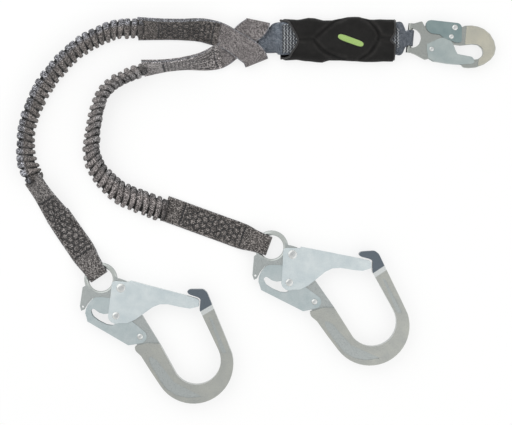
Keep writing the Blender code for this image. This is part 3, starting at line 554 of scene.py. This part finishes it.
def blue_sewing(end, strap, wide, pale_at, dark_at, radius):
    """Rows of pale and of dark zigzag across an end of the absorber's blue webbing."""
    lines = [zigzag(0.0, at, wide, 2.2) for at in pale_at]
    dashes(end + "_pale_stitching", sew(strap, lines, 2.2, 0.4, 0.4), radius, pale_thread)
    lines = [zigzag(1.1, at, wide, 2.2) for at in dark_at]
    dashes(end + "_dark_stitching", sew(strap, lines, 2.6, 0.2, 0.3), radius + 0.25, dark_thread)


# ---------------------------------------------------------------- lower straps
def lower_strap(leg, far, roll, tint, edge_tint):
    """Leg webbing sewn to itself in a honeycomb, its end looped through a hook's round eye.
    far is the distance of its other end from the eye, where it has turned on edge by roll."""
    _, eye, _, toward = HOOKS[leg - 1]
    angle = math.radians(toward)
    along = np.array((math.cos(angle), math.sin(angle), 0.0))
    beside = np.array((-math.sin(angle), math.cos(angle), 0.0))
    origin = np.array((*eye, 0.0))
    upper = 0.5 * WEB + WEB + GAP
    lower = FLOOR + 0.5 * WEB
    profile = [(out, upper, LEG_WIDTH) for out in np.linspace(far, 62.0, 12)]
    profile += [(52.0, upper, LEG_WIDTH), (44.0, upper + 1.6, LEG_WIDTH),
        (36.0, upper + 6.2, 33.5), (29.0, upper + 10.6, 31.0)]
    fold = ((22.0, 4.65, 29.0), (16.0, 4.7, 28.0), (10.5, 4.6, 27.5), (7.4, 3.6, 27.0),
        (5.0, 1.9, 26.6))
    profile += [(out, HOOK_MID + away, width) for out, away, width in fold]
    profile += [(4.2, HOOK_MID, 26.6)]
    profile += [(out, HOOK_MID - away, width) for out, away, width in reversed(fold)]
    profile += [(29.0, 2.6, 30.0), (36.0, lower + 0.5, 33.0), (46.0, lower, LEG_WIDTH),
        (105.0, lower, LEG_WIDTH)]
    stations = []
    for out, height, width in profile:
        share = max(0.0, min(1.0, (out - 62.0) / 85.0))
        lean = math.radians(roll) * share * share * (3.0 - 2.0 * share)
        if height < upper - 0.5:
            lean *= 0.5
        stations.append((origin + along * out + UP * (height + 0.5 * width * abs(math.sin(lean))),
                beside * math.cos(lean) + UP * math.sin(lean), width))
    strap = Strap(stations, step=0.9, ease=True)

    start = profile[0][0] - 128.0
    end = profile[0][0] - 41.0
    cells = comb(8.6, 27.0, start + 4.0, end - 4.0)
    lines = cells + [((-14.0, start), (14.0, start)), ((-14.0, end), (14.0, end))]
    piece = strap.build(f"leg_{leg}_lower_webbing", grey,
        tint=tint, edge_tint=edge_tint, relief=groove(lines, 0.55, 1.1),
        seed=leg)
    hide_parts(f"leg_{leg}_lower_strap")
    leg_sewing((f"leg_{leg}_honeycomb_stitching", f"leg_{leg}_bartacks"), strap, cells, 0.4,
        (start, end))


lower_strap(1, 163.6, -42.0,
    (0.72, 0.70, 0.69), (0.95, 0.97, 1.0))
lower_strap(2, 153.6, 0.0,
    (0.66, 0.63, 0.61), (0.9, 0.9, 0.92))


# ---------------------------------------------------------------- yoke
def arm(path, rolls, heights, widths, offset=0.0):
    """Stations of one arm of the yoke, which is rolled on edge towards its leg."""
    path = np.array([(x, y, 0.0) for x, y in path])
    made = []
    for index, point in enumerate(path):
        run = path[min(index + 1, len(path) - 1)] - path[max(index - 1, 0)]
        run = run / np.linalg.norm(run)
        side = np.array((-run[1], run[0], 0.0))
        roll = math.radians(rolls[index])
        sideways = side * math.cos(roll) + UP * math.sin(roll)
        lift = 0.5 * widths[index] * abs(math.sin(roll))
        centre = np.array((point[0], point[1], max(heights[index], lift + 1.0)))
        made.append((centre + np.cross(run, sideways) * offset, sideways, widths[index]))
    return made


def half_turn(centre, sideways, low, high, inward):
    """Stations of one fold of the yoke, from the lower height to the upper one."""
    radius = 0.5 * (high - low)
    made = []
    for step in range(9):
        turn = math.radians(-90.0 + 180.0 * step / 8)
        out = np.array(inward) * radius * math.cos(turn)
        made.append((np.array((centre[0], centre[1], low + radius + radius * math.sin(turn)))
                + out, sideways, LEG_WIDTH - 2.0))
    return made


ARM_2 = ((-143.5, 184.2), (-112.0, 187.6), (-88.0, 190.4), (-62.0, 194.0), (-40.0, 201.0),
    (-22.0, 214.0), (-6.0, 230.0))
ARM_1 = ((-150.5, 237.5), (-118.0, 236.6), (-92.0, 236.2), (-64.0, 235.4), (-42.0, 230.0),
    (-24.0, 221.0), (-8.0, 211.0))
ROLLS_2 = (62.0, 74.0, 72.0, 55.0, 20.0, 0.0, 0.0)
ROLLS_1 = (40.0, 48.0, 48.0, 36.0, 14.0, 2.0, 0.0)
HEIGHTS_2 = (9.0, 9.0, 9.0, 9.0, 9.4, 11.0, 11.0)
HEIGHTS_1 = (9.0, 9.0, 9.0, 10.0, 13.4, 13.8, 13.8)
ARM_WIDTHS = (35.0, 35.0, 35.0, 35.0, 33.0, 31.0, 33.0)


def yoke():
    """Grey webbing from one leg, folded twice through the blue loop, to the other leg."""
    stations = arm(ARM_2, ROLLS_2, HEIGHTS_2, ARM_WIDTHS)
    stations += reversed(half_turn((10.1, 244.6), (-0.978, 0.21, 0.0), 3.7, 11.0,
            (0.21, 0.978, 0.0)))
    stations += half_turn((7.2, 197.0), (-0.928, -0.372, 0.0), 3.7, 13.8,
        (0.372, -0.928, 0.0))
    stations += reversed([(c, -np.array(s), w) for c, s, w
            in arm(ARM_1, ROLLS_1, HEIGHTS_1, ARM_WIDTHS)])
    strap = Strap(stations)
    piece = strap.build("yoke_webbing", twill_grey,
        tint=(0.80, 0.775, 0.775), edge_tint=(0.95, 1.0, 1.08), seed=3)
    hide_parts("yoke_strap")


def arm_layers():
    """The sewn end of each arm: more layers on the yoke webbing, with its stitching."""
    for leg, path, rolls, heights, tint, edge in (
            (1, ARM_1[:5], ROLLS_1, HEIGHTS_1, (0.52, 0.49, 0.47), (0.92, 0.98, 1.08)),
            (2, ARM_2[:5], ROLLS_2, HEIGHTS_2, (1.12, 1.08, 1.08), (1.3, 1.28, 1.3))):
        for layer, offset in enumerate((WEB + 0.15, -WEB - 0.15)):
            strap = Strap(arm(path, rolls, heights, ARM_WIDTHS, offset), step=0.9)
            start, end = 28.0, strap.length - 8.0
            cells = comb(8.2, 27.0, start + 3.5, end - 3.5)
            if leg == 2:
                cells = [((across, start + 4.0), (across, end - 4.0)) for across in
                    (-12.5, -7.5, -2.5, 2.5, 7.5, 12.5)]
            relief = groove(cells, 0.45, 0.8) if layer == 0 else None
            strap.build(f"leg_{leg}_arm_layer_{layer + 1}", grey,
                tint=tint, edge_tint=edge, relief=relief, seed=4 + leg + layer)
            if layer == 0:
                leg_sewing((f"leg_{leg}_arm_sewing", f"leg_{leg}_arm_bartacks"), strap, cells,
                    0.4 if leg == 1 else 3.0, (start, end))


yoke()
arm_layers()


# ---------------------------------------------------------------- blue and black webbing
def leg_end_loop():
    """Blue webbing that holds the yoke, bunched at its fold, and the wear pad on the fold."""
    sideways = (0.0, 1.0, 0.0)
    middle, bunched, low, high, left = 222.3, 34.0, FLOOR + 0.5 * WEB, 6.4, -14.0
    radius = 0.5 * (high - low)
    stations = [((66.0, COVER_Y, 12.4), sideways, PACK_WIDTH),
        ((41.0, COVER_Y, 12.2), sideways, PACK_WIDTH),
        ((35.5, COVER_Y, 11.2), sideways, 42.0),
        ((28.5, middle, high), sideways, bunched)]
    for step in range(9):
        turn = math.radians(90.0 + 180.0 * step / 8)
        stations.append(((left + radius * math.cos(turn), middle,
                    low + radius + radius * math.sin(turn)), sideways, bunched))
    stations += [((28.5, middle, low), sideways, bunched),
        ((35.5, COVER_Y, 7.6), sideways, 42.0),
        ((41.0, COVER_Y, 8.4), sideways, PACK_WIDTH),
        ((66.0, COVER_Y, 10.0), sideways, PACK_WIDTH)]
    strap = Strap(stations, ease=True)
    piece = strap.build("leg_end_webbing", blue, seed=8)
    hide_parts("leg_end_loop")
    blue_sewing("leg_end", strap, 38.0, (3.0, 7.2, 11.4, 15.6, 19.8),
        (5.1, 9.3, 13.5, 17.7, 21.6), 0.6)
    outer = radius + WEB + GAP
    stations = [((11.5, middle, high + WEB + GAP), sideways, bunched - 2.0)]
    for step in range(7):
        turn = math.radians(90.0 + 90.0 * step / 6)
        stations.append(((left + outer * math.cos(turn), middle,
                    low + radius + outer * math.sin(turn)), sideways, bunched - 2.0))
    piece = Strap(stations, ease=True).build("leg_end_wear_webbing", black,
        seed=9)
    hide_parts("leg_end_wear_pad")


def snap_end_loop():
    """Blue webbing through the snap hook's eye, bunched so that the hook can swing."""
    bar_x, height, full, narrow = SNAP_EYE[0], SNAP_MID, PACK_WIDTH, 21.6
    reach = SNAP_BAR + 0.6 + 0.5 * WEB
    sideways = np.array((0.0, 1.0, 0.0))
    across = np.array((-math.sin(SNAP_TURN), math.cos(SNAP_TURN), 0.0))
    stations = [((COVER_X[1] - 27.0, COVER_Y, 12.4), sideways, full),
        ((COVER_X[1] + 1.0, COVER_Y, 12.6), sideways, full),
        ((bar_x - 12.0, COVER_Y, 12.8), sideways, full),
        ((bar_x - 9.4, COVER_Y, 12.8), sideways, 40.0),
        ((bar_x - 7.0, COVER_Y, height + reach), sideways, 29.0),
        ((bar_x - 5.0, COVER_Y, height + reach), sideways, narrow)]
    for step in range(9):
        turn = math.radians(90.0 - 180.0 * step / 8)
        out = reach * math.cos(turn)
        stations.append(((bar_x + out * math.cos(SNAP_TURN),
                    SNAP_EYE[1] + out * math.sin(SNAP_TURN),
                    height + reach * math.sin(turn)), across, narrow))
    stations += [((bar_x - 5.0, COVER_Y, height - reach), sideways, narrow),
        ((bar_x - 7.0, COVER_Y, height - reach), sideways, 29.0),
        ((bar_x - 9.4, COVER_Y, 3.8), sideways, 40.0),
        ((bar_x - 12.0, COVER_Y, 4.6), sideways, full),
        ((COVER_X[1] + 1.0, COVER_Y, 8.8), sideways, full),
        ((COVER_X[1] - 27.0, COVER_Y, 10.0), sideways, full)]
    strap = Strap(stations, ease=True)
    piece = strap.build("snap_end_webbing", blue,
        tint=(0.85, 0.84, 0.83), seed=10)
    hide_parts("snap_end_loop")
    blue_sewing("snap_end", strap, 26.0, (22.0, 26.2, 30.4), (24.1, 28.3), 0.55)


def absorber_core():
    """Tear webbing in five folded layers, packed inside the cover."""
    near, far, pitch = COVER_X[0] + 33.0, COVER_X[1] - 33.0, WEB + 0.3
    sideways = (0.0, 1.0, 0.0)
    stations = []
    for layer in range(5):
        z = 8.6 + pitch * (layer - 2)
        ends = (near, far) if layer % 2 == 0 else (far, near)
        outward = 1.0 if layer % 2 == 0 else -1.0
        stations += [((ends[0], COVER_Y, z), sideways, 35.0),
            ((ends[1], COVER_Y, z), sideways, 35.0)]
        for step in range(1, 5 if layer < 4 else 1):
            turn = math.radians(-90.0 + 36.0 * step)
            stations.append(((ends[1] + outward * 0.5 * pitch * math.cos(turn), COVER_Y,
                        z + 0.5 * pitch + 0.5 * pitch * math.sin(turn)), sideways, 35.0))
    piece = Strap(stations, step=1.0, ease=True).build("tear_webbing_pack", natural, cols=12,
        wave=0.0, seed=11)
    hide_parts("absorber_core")


leg_end_loop()
snap_end_loop()
absorber_core()


# ---------------------------------------------------------------- elastic legs
def gathered(leg, route, pitch, rolls, raised, lean, bow, face, edge, seed):
    """Tubular webbing gathered over elastic: a flat band folded into rounded cross ridges.
    rolls are (share of the length, degrees on edge), raised is the sign of the raised side,
    lean and bow slant and curve the ridges, face and edge are the tints of the open side and
    of the raised one.  Gaps gape on the low side and close to beads on the raised one."""
    wide, thick, valley_wide, valley_thick = 16.8, 7.4, 12.6, 2.4
    rows, at = smooth_rows([(x, y, 0.0) for x, y in route], 1.0)
    length = at[-1]
    ahead = unit(np.gradient(rows, axis=0))
    side = np.stack((-ahead[:, 1], ahead[:, 0], np.zeros(len(rows))), axis=1)
    ridges = round(length / pitch)
    pitch = length / ridges
    luck = random.Random(seed)
    size = np.array([luck.uniform(0.84, 1.08) for _ in range(ridges + 1)])
    skews = np.array([lean + luck.uniform(-0.16, 0.16) for _ in range(ridges + 1)])
    tips = np.array([luck.uniform(-0.3, 0.3) for _ in range(ridges + 1)])
    rise = ((-0.5, 0.0), (-0.44, 0.02), (-0.40, 0.22), (-0.39, 0.48), (-0.36, 0.72), (-0.28, 0.89),
        (-0.15, 0.98))
    profile = rise + ((0.0, 1.0),) + tuple((-a, h) for a, h in rise[:0:-1])
    folds, crests, ridge_of, middles = [], [], [], []
    for ridge in range(ridges):
        for spot, height in profile:
            folds.append((ridge + 0.5 + spot) * pitch)
            crests.append(height)
            ridge_of.append(ridge)
            middles.append((ridge + 0.5) * pitch)
    folds.append(length)
    crests.append(0.0)
    ridge_of.append(ridges)
    middles.append(length)
    folds, crests, ridge_of = np.array(folds), np.array(crests), np.array(ridge_of)
    middles = np.array(middles)
    count = 56
    angle = 2 * np.pi * (np.arange(count) + 0.5) / count
    cx = np.sign(np.cos(angle)) * np.abs(np.cos(angle)) ** 0.8
    cz = np.sign(np.sin(angle)) * np.abs(np.sin(angle)) ** 0.75
    inner = -raised * cx[None, :]
    gape = np.clip((inner + 0.35) / 1.1, 0.0, 1.0)
    bead = np.clip((-inner - 0.70) / 0.2, 0.0, 1.0)
    depth = 0.42 + 0.58 * np.maximum(gape ** 0.7, bead)
    crests = 1.0 - (1.0 - crests[:, None]) * depth
    taper = np.clip(np.minimum(folds, length - folds) / (1.4 * pitch), 0.0, 1.0)[:, None]
    crests = crests * (0.35 + 0.65 * taper)
    high = crests * (size[ridge_of][:, None]
        * (1.0 - 0.22 * np.abs(cx[None, :] - tips[ridge_of][:, None]) ** 2))
    x = cx[None, :] * (valley_wide + (wide - valley_wide) * crests
        * size[ridge_of][:, None])
    z = cz[None, :] * (valley_thick + (thick - valley_thick) * high)
    ease = np.clip(np.minimum(folds, length - folds) / (1.5 * pitch), 0.0, 1.0)[:, None]
    near_fold = (folds - middles)[:, None]
    spot = middles[:, None] + near_fold * np.where(np.abs(near_fold) < 0.47 * pitch,
        1.0 - 0.20 * gape, 1.0)
    spot = spot + ease * pitch * (skews[ridge_of][:, None] * cx[None, :]
        + bow * (1.0 - cx[None, :] ** 2))
    spot = np.clip(spot, 0.0, length)

    def at_spot(values):
        return np.stack([np.interp(spot, at, values[:, k]) for k in range(values.shape[1])],
            axis=-1)

    share, degrees = zip(*rolls)
    roll = np.radians(np.interp(spot / length, share, degrees))
    lift = np.sqrt((wide * np.sin(roll)) ** 2 + (thick * np.cos(roll)) ** 2)
    flat = unit(at_spot(side))
    band = flat * np.cos(roll)[..., None] + UP * (raised * np.sin(roll))[..., None]
    proud = -flat * (raised * np.sin(roll))[..., None] + UP * np.cos(roll)[..., None]
    points = (at_spot(rows) + UP * lift[..., None] + band * x[..., None]
        + proud * z[..., None])
    rough = np.array([[noise.noise_vector(Vector(p) * 0.3) for p in ring] for ring in points])
    points = points + 0.38 * rough
    steps = np.zeros(x.shape)
    steps[:, 1:] = np.cumsum(np.linalg.norm(np.diff(points, axis=1), axis=-1), axis=1)
    around = 0.9 * 2 * (2 * wide)
    rise = np.concatenate(([0.0], np.cumsum(np.hypot(
        np.diff(folds), (thick - valley_thick) * np.diff(crests.mean(axis=1))))))
    v = np.repeat(rise[:, None], count, axis=1) + 300.0 * leg
    # Painted shade: the colour falls to about a twentieth of itself down in the valleys between
    # the ridges.
    deep = np.clip(high / 0.85, 0.0, 1.0) ** 1.5
    rim = np.clip((-inner - 0.55) / 0.3, 0.0, 1.0)[..., None]
    shade = (np.array(face) * (1 - rim) + np.array(edge) * rim) * (0.06 + 0.94 * deep[..., None])
    own = np.array([luck.uniform(0.9, 1.1) for _ in range(ridges + 1)])[ridge_of]
    shade = shade * own[:, None, None]
    piece = skin(f"leg_{leg}_gathered_webbing", points, (steps, v, around), shade, grey)
    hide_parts(f"leg_{leg}_elastic_sleeve", f"leg_{leg}_elastic_core")
    middle_roll = np.radians(np.interp(at / length, share, degrees))
    rest = np.sqrt((wide * np.sin(middle_roll)) ** 2 + (thick * np.cos(middle_roll)) ** 2)
    line = (rows + UP * rest[:, None] + LAYOUT)[::4] * MM
    line = np.concatenate((line, ((rows[-1] + UP * rest[-1] + LAYOUT) * MM)[None, :]))


LEG_1_ELASTIC = (
    (-141.8, 237.0), (-162.0, 237.6), (-182.3, 235.6), (-202.5, 227.5), (-222.8, 216.7),
    (-243.0, 200.5), (-261.9, 180.2), (-276.8, 160.0), (-288.9, 135.7), (-298.4, 108.7),
    (-301.0, 81.7), (-299.7, 61.4), (-294.3, 45.2), (-287.0, 33.0))
LEG_2_ELASTIC = (
    (-138.6, 184.2), (-151.2, 180.2), (-168.8, 172.1), (-186.3, 162.7), (-198.4, 149.2),
    (-205.2, 131.6), (-209.3, 112.7), (-212.0, 93.8), (-213.3, 74.9), (-209.3, 57.4),
    (-201.2, 42.5), (-189.0, 29.0), (-174.2, 16.9), (-156.6, 8.8), (-139.0, 2.0),
    (-121.5, -4.7), (-111.5, -7.4))
gathered(1, LEG_1_ELASTIC, 9.4, ((0.0, 48.0), (0.5, 52.0), (0.8, 56.0), (1.0, 40.0)), -1.0,
    0.22, 0.0, (0.86, 0.81, 0.78), (1.25, 1.32, 1.46), 11)
gathered(2, LEG_2_ELASTIC, 9.2, ((0.0, 62.0), (0.3, 60.0), (0.5, 50.0), (0.7, 30.0), (0.85, 14.0),
        (1.0, 4.0)), 1.0,
    -0.3, 0.3, (1.08, 1.02, 1.01), (1.02, 1.02, 1.04), 23)


# ---------------------------------------------------------------- absorber cover
HIGH_EDGE = ((40.8, 249.6), (46.2, 251.1), (62.6, 250.0), (79.2, 252.6), (86.8, 252.3),
    (98.8, 249.2), (110.8, 249.2), (130.5, 253.7), (147.0, 253.7), (160.7, 250.4),
    (177.3, 250.7), (192.2, 250.4), (195.2, 248.8))
LOW_EDGE = ((41.6, 197.6), (47.6, 195.4), (62.6, 195.9), (80.8, 193.5), (97.3, 192.0),
    (107.1, 195.4), (126.0, 194.9), (147.0, 193.6), (165.1, 193.1), (192.2, 193.9),
    (193.8, 196.8))
LEFT_MOUTH = ((195.0, 42.0), (199.1, 53.0), (205.2, 56.7), (214.2, 62.6), (221.8, 64.9),
    (227.7, 62.6), (238.3, 56.7), (246.6, 52.1), (250.5, 41.0))
RIGHT_MOUTH = ((194.0, 193.6), (215.0, 194.2), (223.3, 188.5), (231.0, 194.0), (250.0, 195.0))
SEAMS = (((64.0, 222.3), (76.0, 222.4), (85.7, 222.4)),
    ((85.7, 222.4), (96.5, 233.0), (107.0, 241.5), (116.0, 247.4), (126.0, 251.5)),
    ((85.7, 222.4), (92.0, 213.5), (101.0, 206.0), (112.5, 200.6), (127.0, 197.0)),
    ((152.0, 252.0), (162.0, 245.5), (170.0, 236.5), (174.0, 226.5)),
    ((174.0, 226.5), (168.0, 214.5), (160.0, 204.0), (148.0, 197.0)),
    ((174.0, 226.5), (182.0, 224.0), (189.0, 223.5)))


def seam_lines():
    lines = []
    for seam in SEAMS:
        rows, _ = smooth_rows([(x, y, 0.0) for x, y in seam], 3.0)
        lines += [(tuple(a[:2]), tuple(b[:2])) for a, b in zip(rows, rows[1:])]
    return lines


def cover_edge(table, where):
    return np.interp(where, [row[0] for row in table], [row[1] for row in table])


def seam_distance(x, y, lines):
    starts = np.array([line[0] for line in lines])
    runs = np.array([line[1] for line in lines]) - starts
    spots = np.stack((x, y), axis=-1).reshape(-1, 1, 2)
    t = np.clip(np.sum((spots - starts) * runs, axis=-1) / np.sum(runs ** 2, axis=1), 0.0, 1.0)
    return np.linalg.norm(spots - starts - t[..., None] * runs, axis=-1).min(axis=1).reshape(
        x.shape)


def cover_top(x, y, lines):
    """Height of the cover's upper face: padded panels that sink to their seams."""
    high, low = cover_edge(HIGH_EDGE, x), cover_edge(LOW_EDGE, x)
    share = np.clip(np.abs((y - 0.5 * (high + low)) / (0.5 * (high - low))), 0.0, 1.0)
    away = seam_distance(x, y, lines)
    ends = np.clip(np.minimum(x - 40.0, 196.0 - x) / 26.0, 0.0, 1.0)
    crown = (1.0 - share ** 3.4) ** 0.6
    puff = 3.0 * (1.0 - np.exp(-(away / 8.0) ** 2)) - 2.0 * np.exp(-(away / 1.9) ** 2)
    creases = np.array([noise.noise(Vector((0.05 * a, 0.11 * b, 3.0)))
            for a, b in zip(x.ravel(), y.ravel())]).reshape(x.shape)
    return COVER_RIM + (9.6 + 2.2 * ends + puff + 0.9 * creases) * crown


def absorber_cover():
    """The cover as one padded tube with shaped mouths; returns its seam lines."""
    lines = seam_lines()
    rows, count = 190, 132
    s = np.linspace(0.0, 1.0, rows)[:, None]
    angle = 2 * np.pi * np.arange(count) / count
    q = (np.sign(np.cos(angle)) * np.abs(np.cos(angle)) ** 0.72)[None, :]
    upper = (np.sin(angle) >= 0.0)[None, :]
    y = COVER_Y - 1.5 + 28.5 * q + 0.0 * s
    near = np.where(upper, cover_edge(LEFT_MOUTH, y), 42.0 + 0.0 * y)
    far = np.where(upper, cover_edge(RIGHT_MOUTH, y), 194.0 + 0.0 * y)
    x = near + (far - near) * s
    high, low = cover_edge(HIGH_EDGE, x), cover_edge(LOW_EDGE, x)
    y = 0.5 * (high + low) + 0.5 * (high - low) * q
    share = np.abs(q)
    top = cover_top(x, y, lines)
    under = COVER_RIM - (7.2 - 0.9 * np.exp(-(seam_distance(x, y, lines) / 3.0) ** 2)) * (
        1.0 - share ** 3.0) ** 0.6
    z = np.where(upper, top, under)
    points = np.stack((x, y, z), axis=-1)
    rough = np.array([[noise.noise_vector(Vector(p) * 0.09) for p in ring] for ring in points])
    points = points + np.array((0.0, 0.5, 0.5)) * rough
    away = seam_distance(x, y, lines)
    # Painted highlight on the padded ridge a few millimetres each side of a seam, and painted
    # shade down in the seam's crease, on the upper face only.
    shade = (1.0 + 1.0 * np.exp(-((away - 3.8) / 1.8) ** 2)) * (
        1.0 - 0.7 * np.exp(-(away / 1.1) ** 2))
    shade = np.where(upper, shade, 1.0)[..., None] * np.ones(3)
    around = 160.0
    u = np.repeat((np.arange(count) * around / count)[None, :], rows, axis=0)
    piece = skin("absorber_cover_cloth", points, (u, x, around), shade, cover_cloth,
        closed_ends=False)
    thicken(piece, 1.3)
    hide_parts("absorber_cover")
    for title, ring in (("leg_end", points[0]), ("snap_end", points[-1])):
        hem(f"cover_hem_{title}", ring)
    return lines


def hem(name, ring, radius=1.25):
    """A folded and sewn edge round one mouth of the cover."""
    curve = bpy.data.curves.new(name, "CURVE")
    curve.dimensions = "3D"
    curve.bevel_depth = radius * MM
    curve.bevel_resolution = 3
    spline = curve.splines.new("POLY")
    spline.points.add(len(ring) - 1)
    for point, spot in zip(spline.points, ring):
        spot = spot + LAYOUT
        point.co = (spot[0] * MM, spot[1] * MM, max(spot[2], radius + 0.1) * MM, 1.0)
    spline.use_cyclic_u = True
    add_soft(name, curve, hem_cloth)


def badge(lines):
    """A plain embroidered lime bar on the cover."""
    material, tree, shader = start_material("lime_embroidery", 0.55, Sheen_Weight=0.4)
    place = put(tree, "TexCoord").outputs["Object"]
    turned = put(tree, "Mapping", {"Vector": place, "Rotation": (0.0, 0.0, math.radians(22.0))})
    satin = put(tree, "TexWave", {"Vector": turned.outputs["Vector"],
            "Scale": WAVE_REPEAT / (0.8 * MM), "Distortion": 0.8, "Detail": 2.0},
            bands_direction="X")
    shades = ramp(tree, satin.outputs["Fac"], ((0.2, (0.20, 0.36, 0.07)),
            (0.75, (0.46, 0.64, 0.21))))
    tree.links.new(shades.outputs["Color"], shader.inputs["Base Color"])
    roughen(tree, shader, satin.outputs["Fac"], 0.7, 0.3)
    turn = math.radians(-20.0)
    rows, cols = 60, 15
    points = []
    for i in range(rows):
        for j in range(cols):
            a = -18.0 + 36.0 * i / (rows - 1)
            reach = 4.0 * max(0.0, 1.0 - (abs(a) / 18.2) ** 6) ** 0.5
            b = reach * (2.0 * j / (cols - 1) - 1.0)
            x = 135.0 + a * math.cos(turn) - b * math.sin(turn)
            y = 221.0 + a * math.sin(turn) + b * math.cos(turn)
            rim = 1.0 - (abs(2.0 * j / (cols - 1) - 1.0)) ** 4
            z = float(cover_top(np.array([x]), np.array([y]), lines)[0]) + 0.25 + 0.45 * rim
            points.append(((x + LAYOUT[0]) * MM, (y + LAYOUT[1]) * MM, z * MM))
    faces = [(i * cols + j, (i + 1) * cols + j, (i + 1) * cols + j + 1, i * cols + j + 1)
        for i in range(rows - 1) for j in range(cols - 1)]
    mesh = bpy.data.meshes.new("lime_badge")
    mesh.from_pydata(points, [], faces)
    mesh.shade_smooth()
    thicken(add_soft("lime_badge", mesh, material), 0.8)


badge(absorber_cover())


# ---------------------------------------------------------------- metal
def dress(name, look, width, angle=32.0):
    """Gives a CAD metal piece its metal, smooth shading and edges broken by width."""
    piece = nodes[name]
    mesh = piece.data
    if "custom_normal" in mesh.attributes:
        mesh.attributes.remove(mesh.attributes["custom_normal"])
    mesh.materials.clear()
    mesh.materials.append(look)
    mesh.shade_smooth()
    weld = piece.modifiers.new("weld", "WELD")
    weld.merge_threshold = 0.00001
    if width:
        edges = piece.modifiers.new("edges", "BEVEL")
        edges.width = width * MM
        edges.segments = 2
        edges.limit_method = "ANGLE"
        edges.angle_limit = math.radians(angle)
        edges.use_clamp_overlap = True
    shading = piece.modifiers.new("shading", "WEIGHTED_NORMAL")
    shading.weight = 90


for hook in ("hook_1", "hook_2"):
    dress(hook + "_body", forged[hook], 0.7, 38.0)
    dress(hook + "_gate", zinc, 0.35)
    dress(hook + "_lever", lever_zinc, 0.35)
    for part in ("_gate_pin", "_gate_rivet", "_lever_rivet"):
        dress(hook + part, polished, 0.2)
    for part in ("_gate_spring", "_lever_spring"):
        dress(hook + part, spring_wire, 0.0)
dress("snap_body", plated, 0.5, 38.0)
dress("snap_gate", snap_zinc, 0.3)
dress("snap_lock", lock_zinc, 0.3)
for part in ("snap_gate_rivet", "snap_lock_pin", "snap_lock_rivet"):
    dress(part, polished, 0.2)
for part in ("snap_gate_spring", "snap_lock_spring"):
    dress(part, spring_wire, 0.0)


# ---------------------------------------------------------------- stage, light and camera
def studio():
    floor_mesh = bpy.data.meshes.new("floor")
    floor_mesh.from_pydata([(-12, -12, -0.0004), (12, -12, -0.0004),
            (12, 12, -0.0004), (-12, 12, -0.0004)], [], [(0, 1, 2, 3)])
    floor = bpy.data.objects.new("floor", floor_mesh)
    bpy.context.scene.collection.objects.link(floor)
    material, tree, shader = start_material("pale_floor", 0.9, Specular_IOR_Level=0.1,
        Emission_Strength=0.75)
    shader.inputs["Base Color"].default_value = (0.22, 0.22, 0.22, 1.0)
    shader.inputs["Emission Color"].default_value = (1.0, 1.0, 1.0, 1.0)
    floor_mesh.materials.append(material)

    world = bpy.data.worlds.new("studio")
    world.use_nodes = True
    bpy.context.scene.world = world
    tree = world.node_tree
    back = tree.nodes["Background"]
    height = put(tree, "SeparateXYZ", {"Vector": put(tree, "TexCoord").outputs["Generated"]})
    bands = ramp(tree, height.outputs["Z"], ((0.0, (0.10, 0.105, 0.11)),
            (0.25, (0.26, 0.27, 0.28)),
            (0.5, (0.80, 0.80, 0.78)), (0.8, (0.85, 0.85, 0.83)),
            (0.94, (0.60, 0.61, 0.62)), (1.0, (0.58, 0.59, 0.60))))
    tree.links.new(bands.outputs["Color"], back.inputs["Color"])
    back.inputs["Strength"].default_value = 1.33
    bpy.context.scene.view_settings.view_transform = "Standard"

    for name, place, size, energy in (("key", (-0.75, 0.65, 1.0), 1.6, 5.5),
            ("fill", (0.9, -0.5, 1.1), 1.5, 3.5)):
        lamp = bpy.data.lights.new(name, "AREA")
        lamp.energy = energy
        lamp.size = size
        lamp_object = bpy.data.objects.new(name, lamp)
        lamp_object.location = place
        lamp_object.rotation_euler = (-Vector(place)).to_track_quat("-Z", "Y").to_euler()
        bpy.context.scene.collection.objects.link(lamp_object)

    camera = bpy.data.cameras.new("camera")
    camera.sensor_width = 36.0
    camera.lens = 135.4
    camera_object = bpy.data.objects.new("camera", camera)
    camera_object.location = (0.0018, -0.00405, 2.6)
    bpy.context.scene.collection.objects.link(camera_object)
    bpy.context.scene.camera = camera_object


studio()
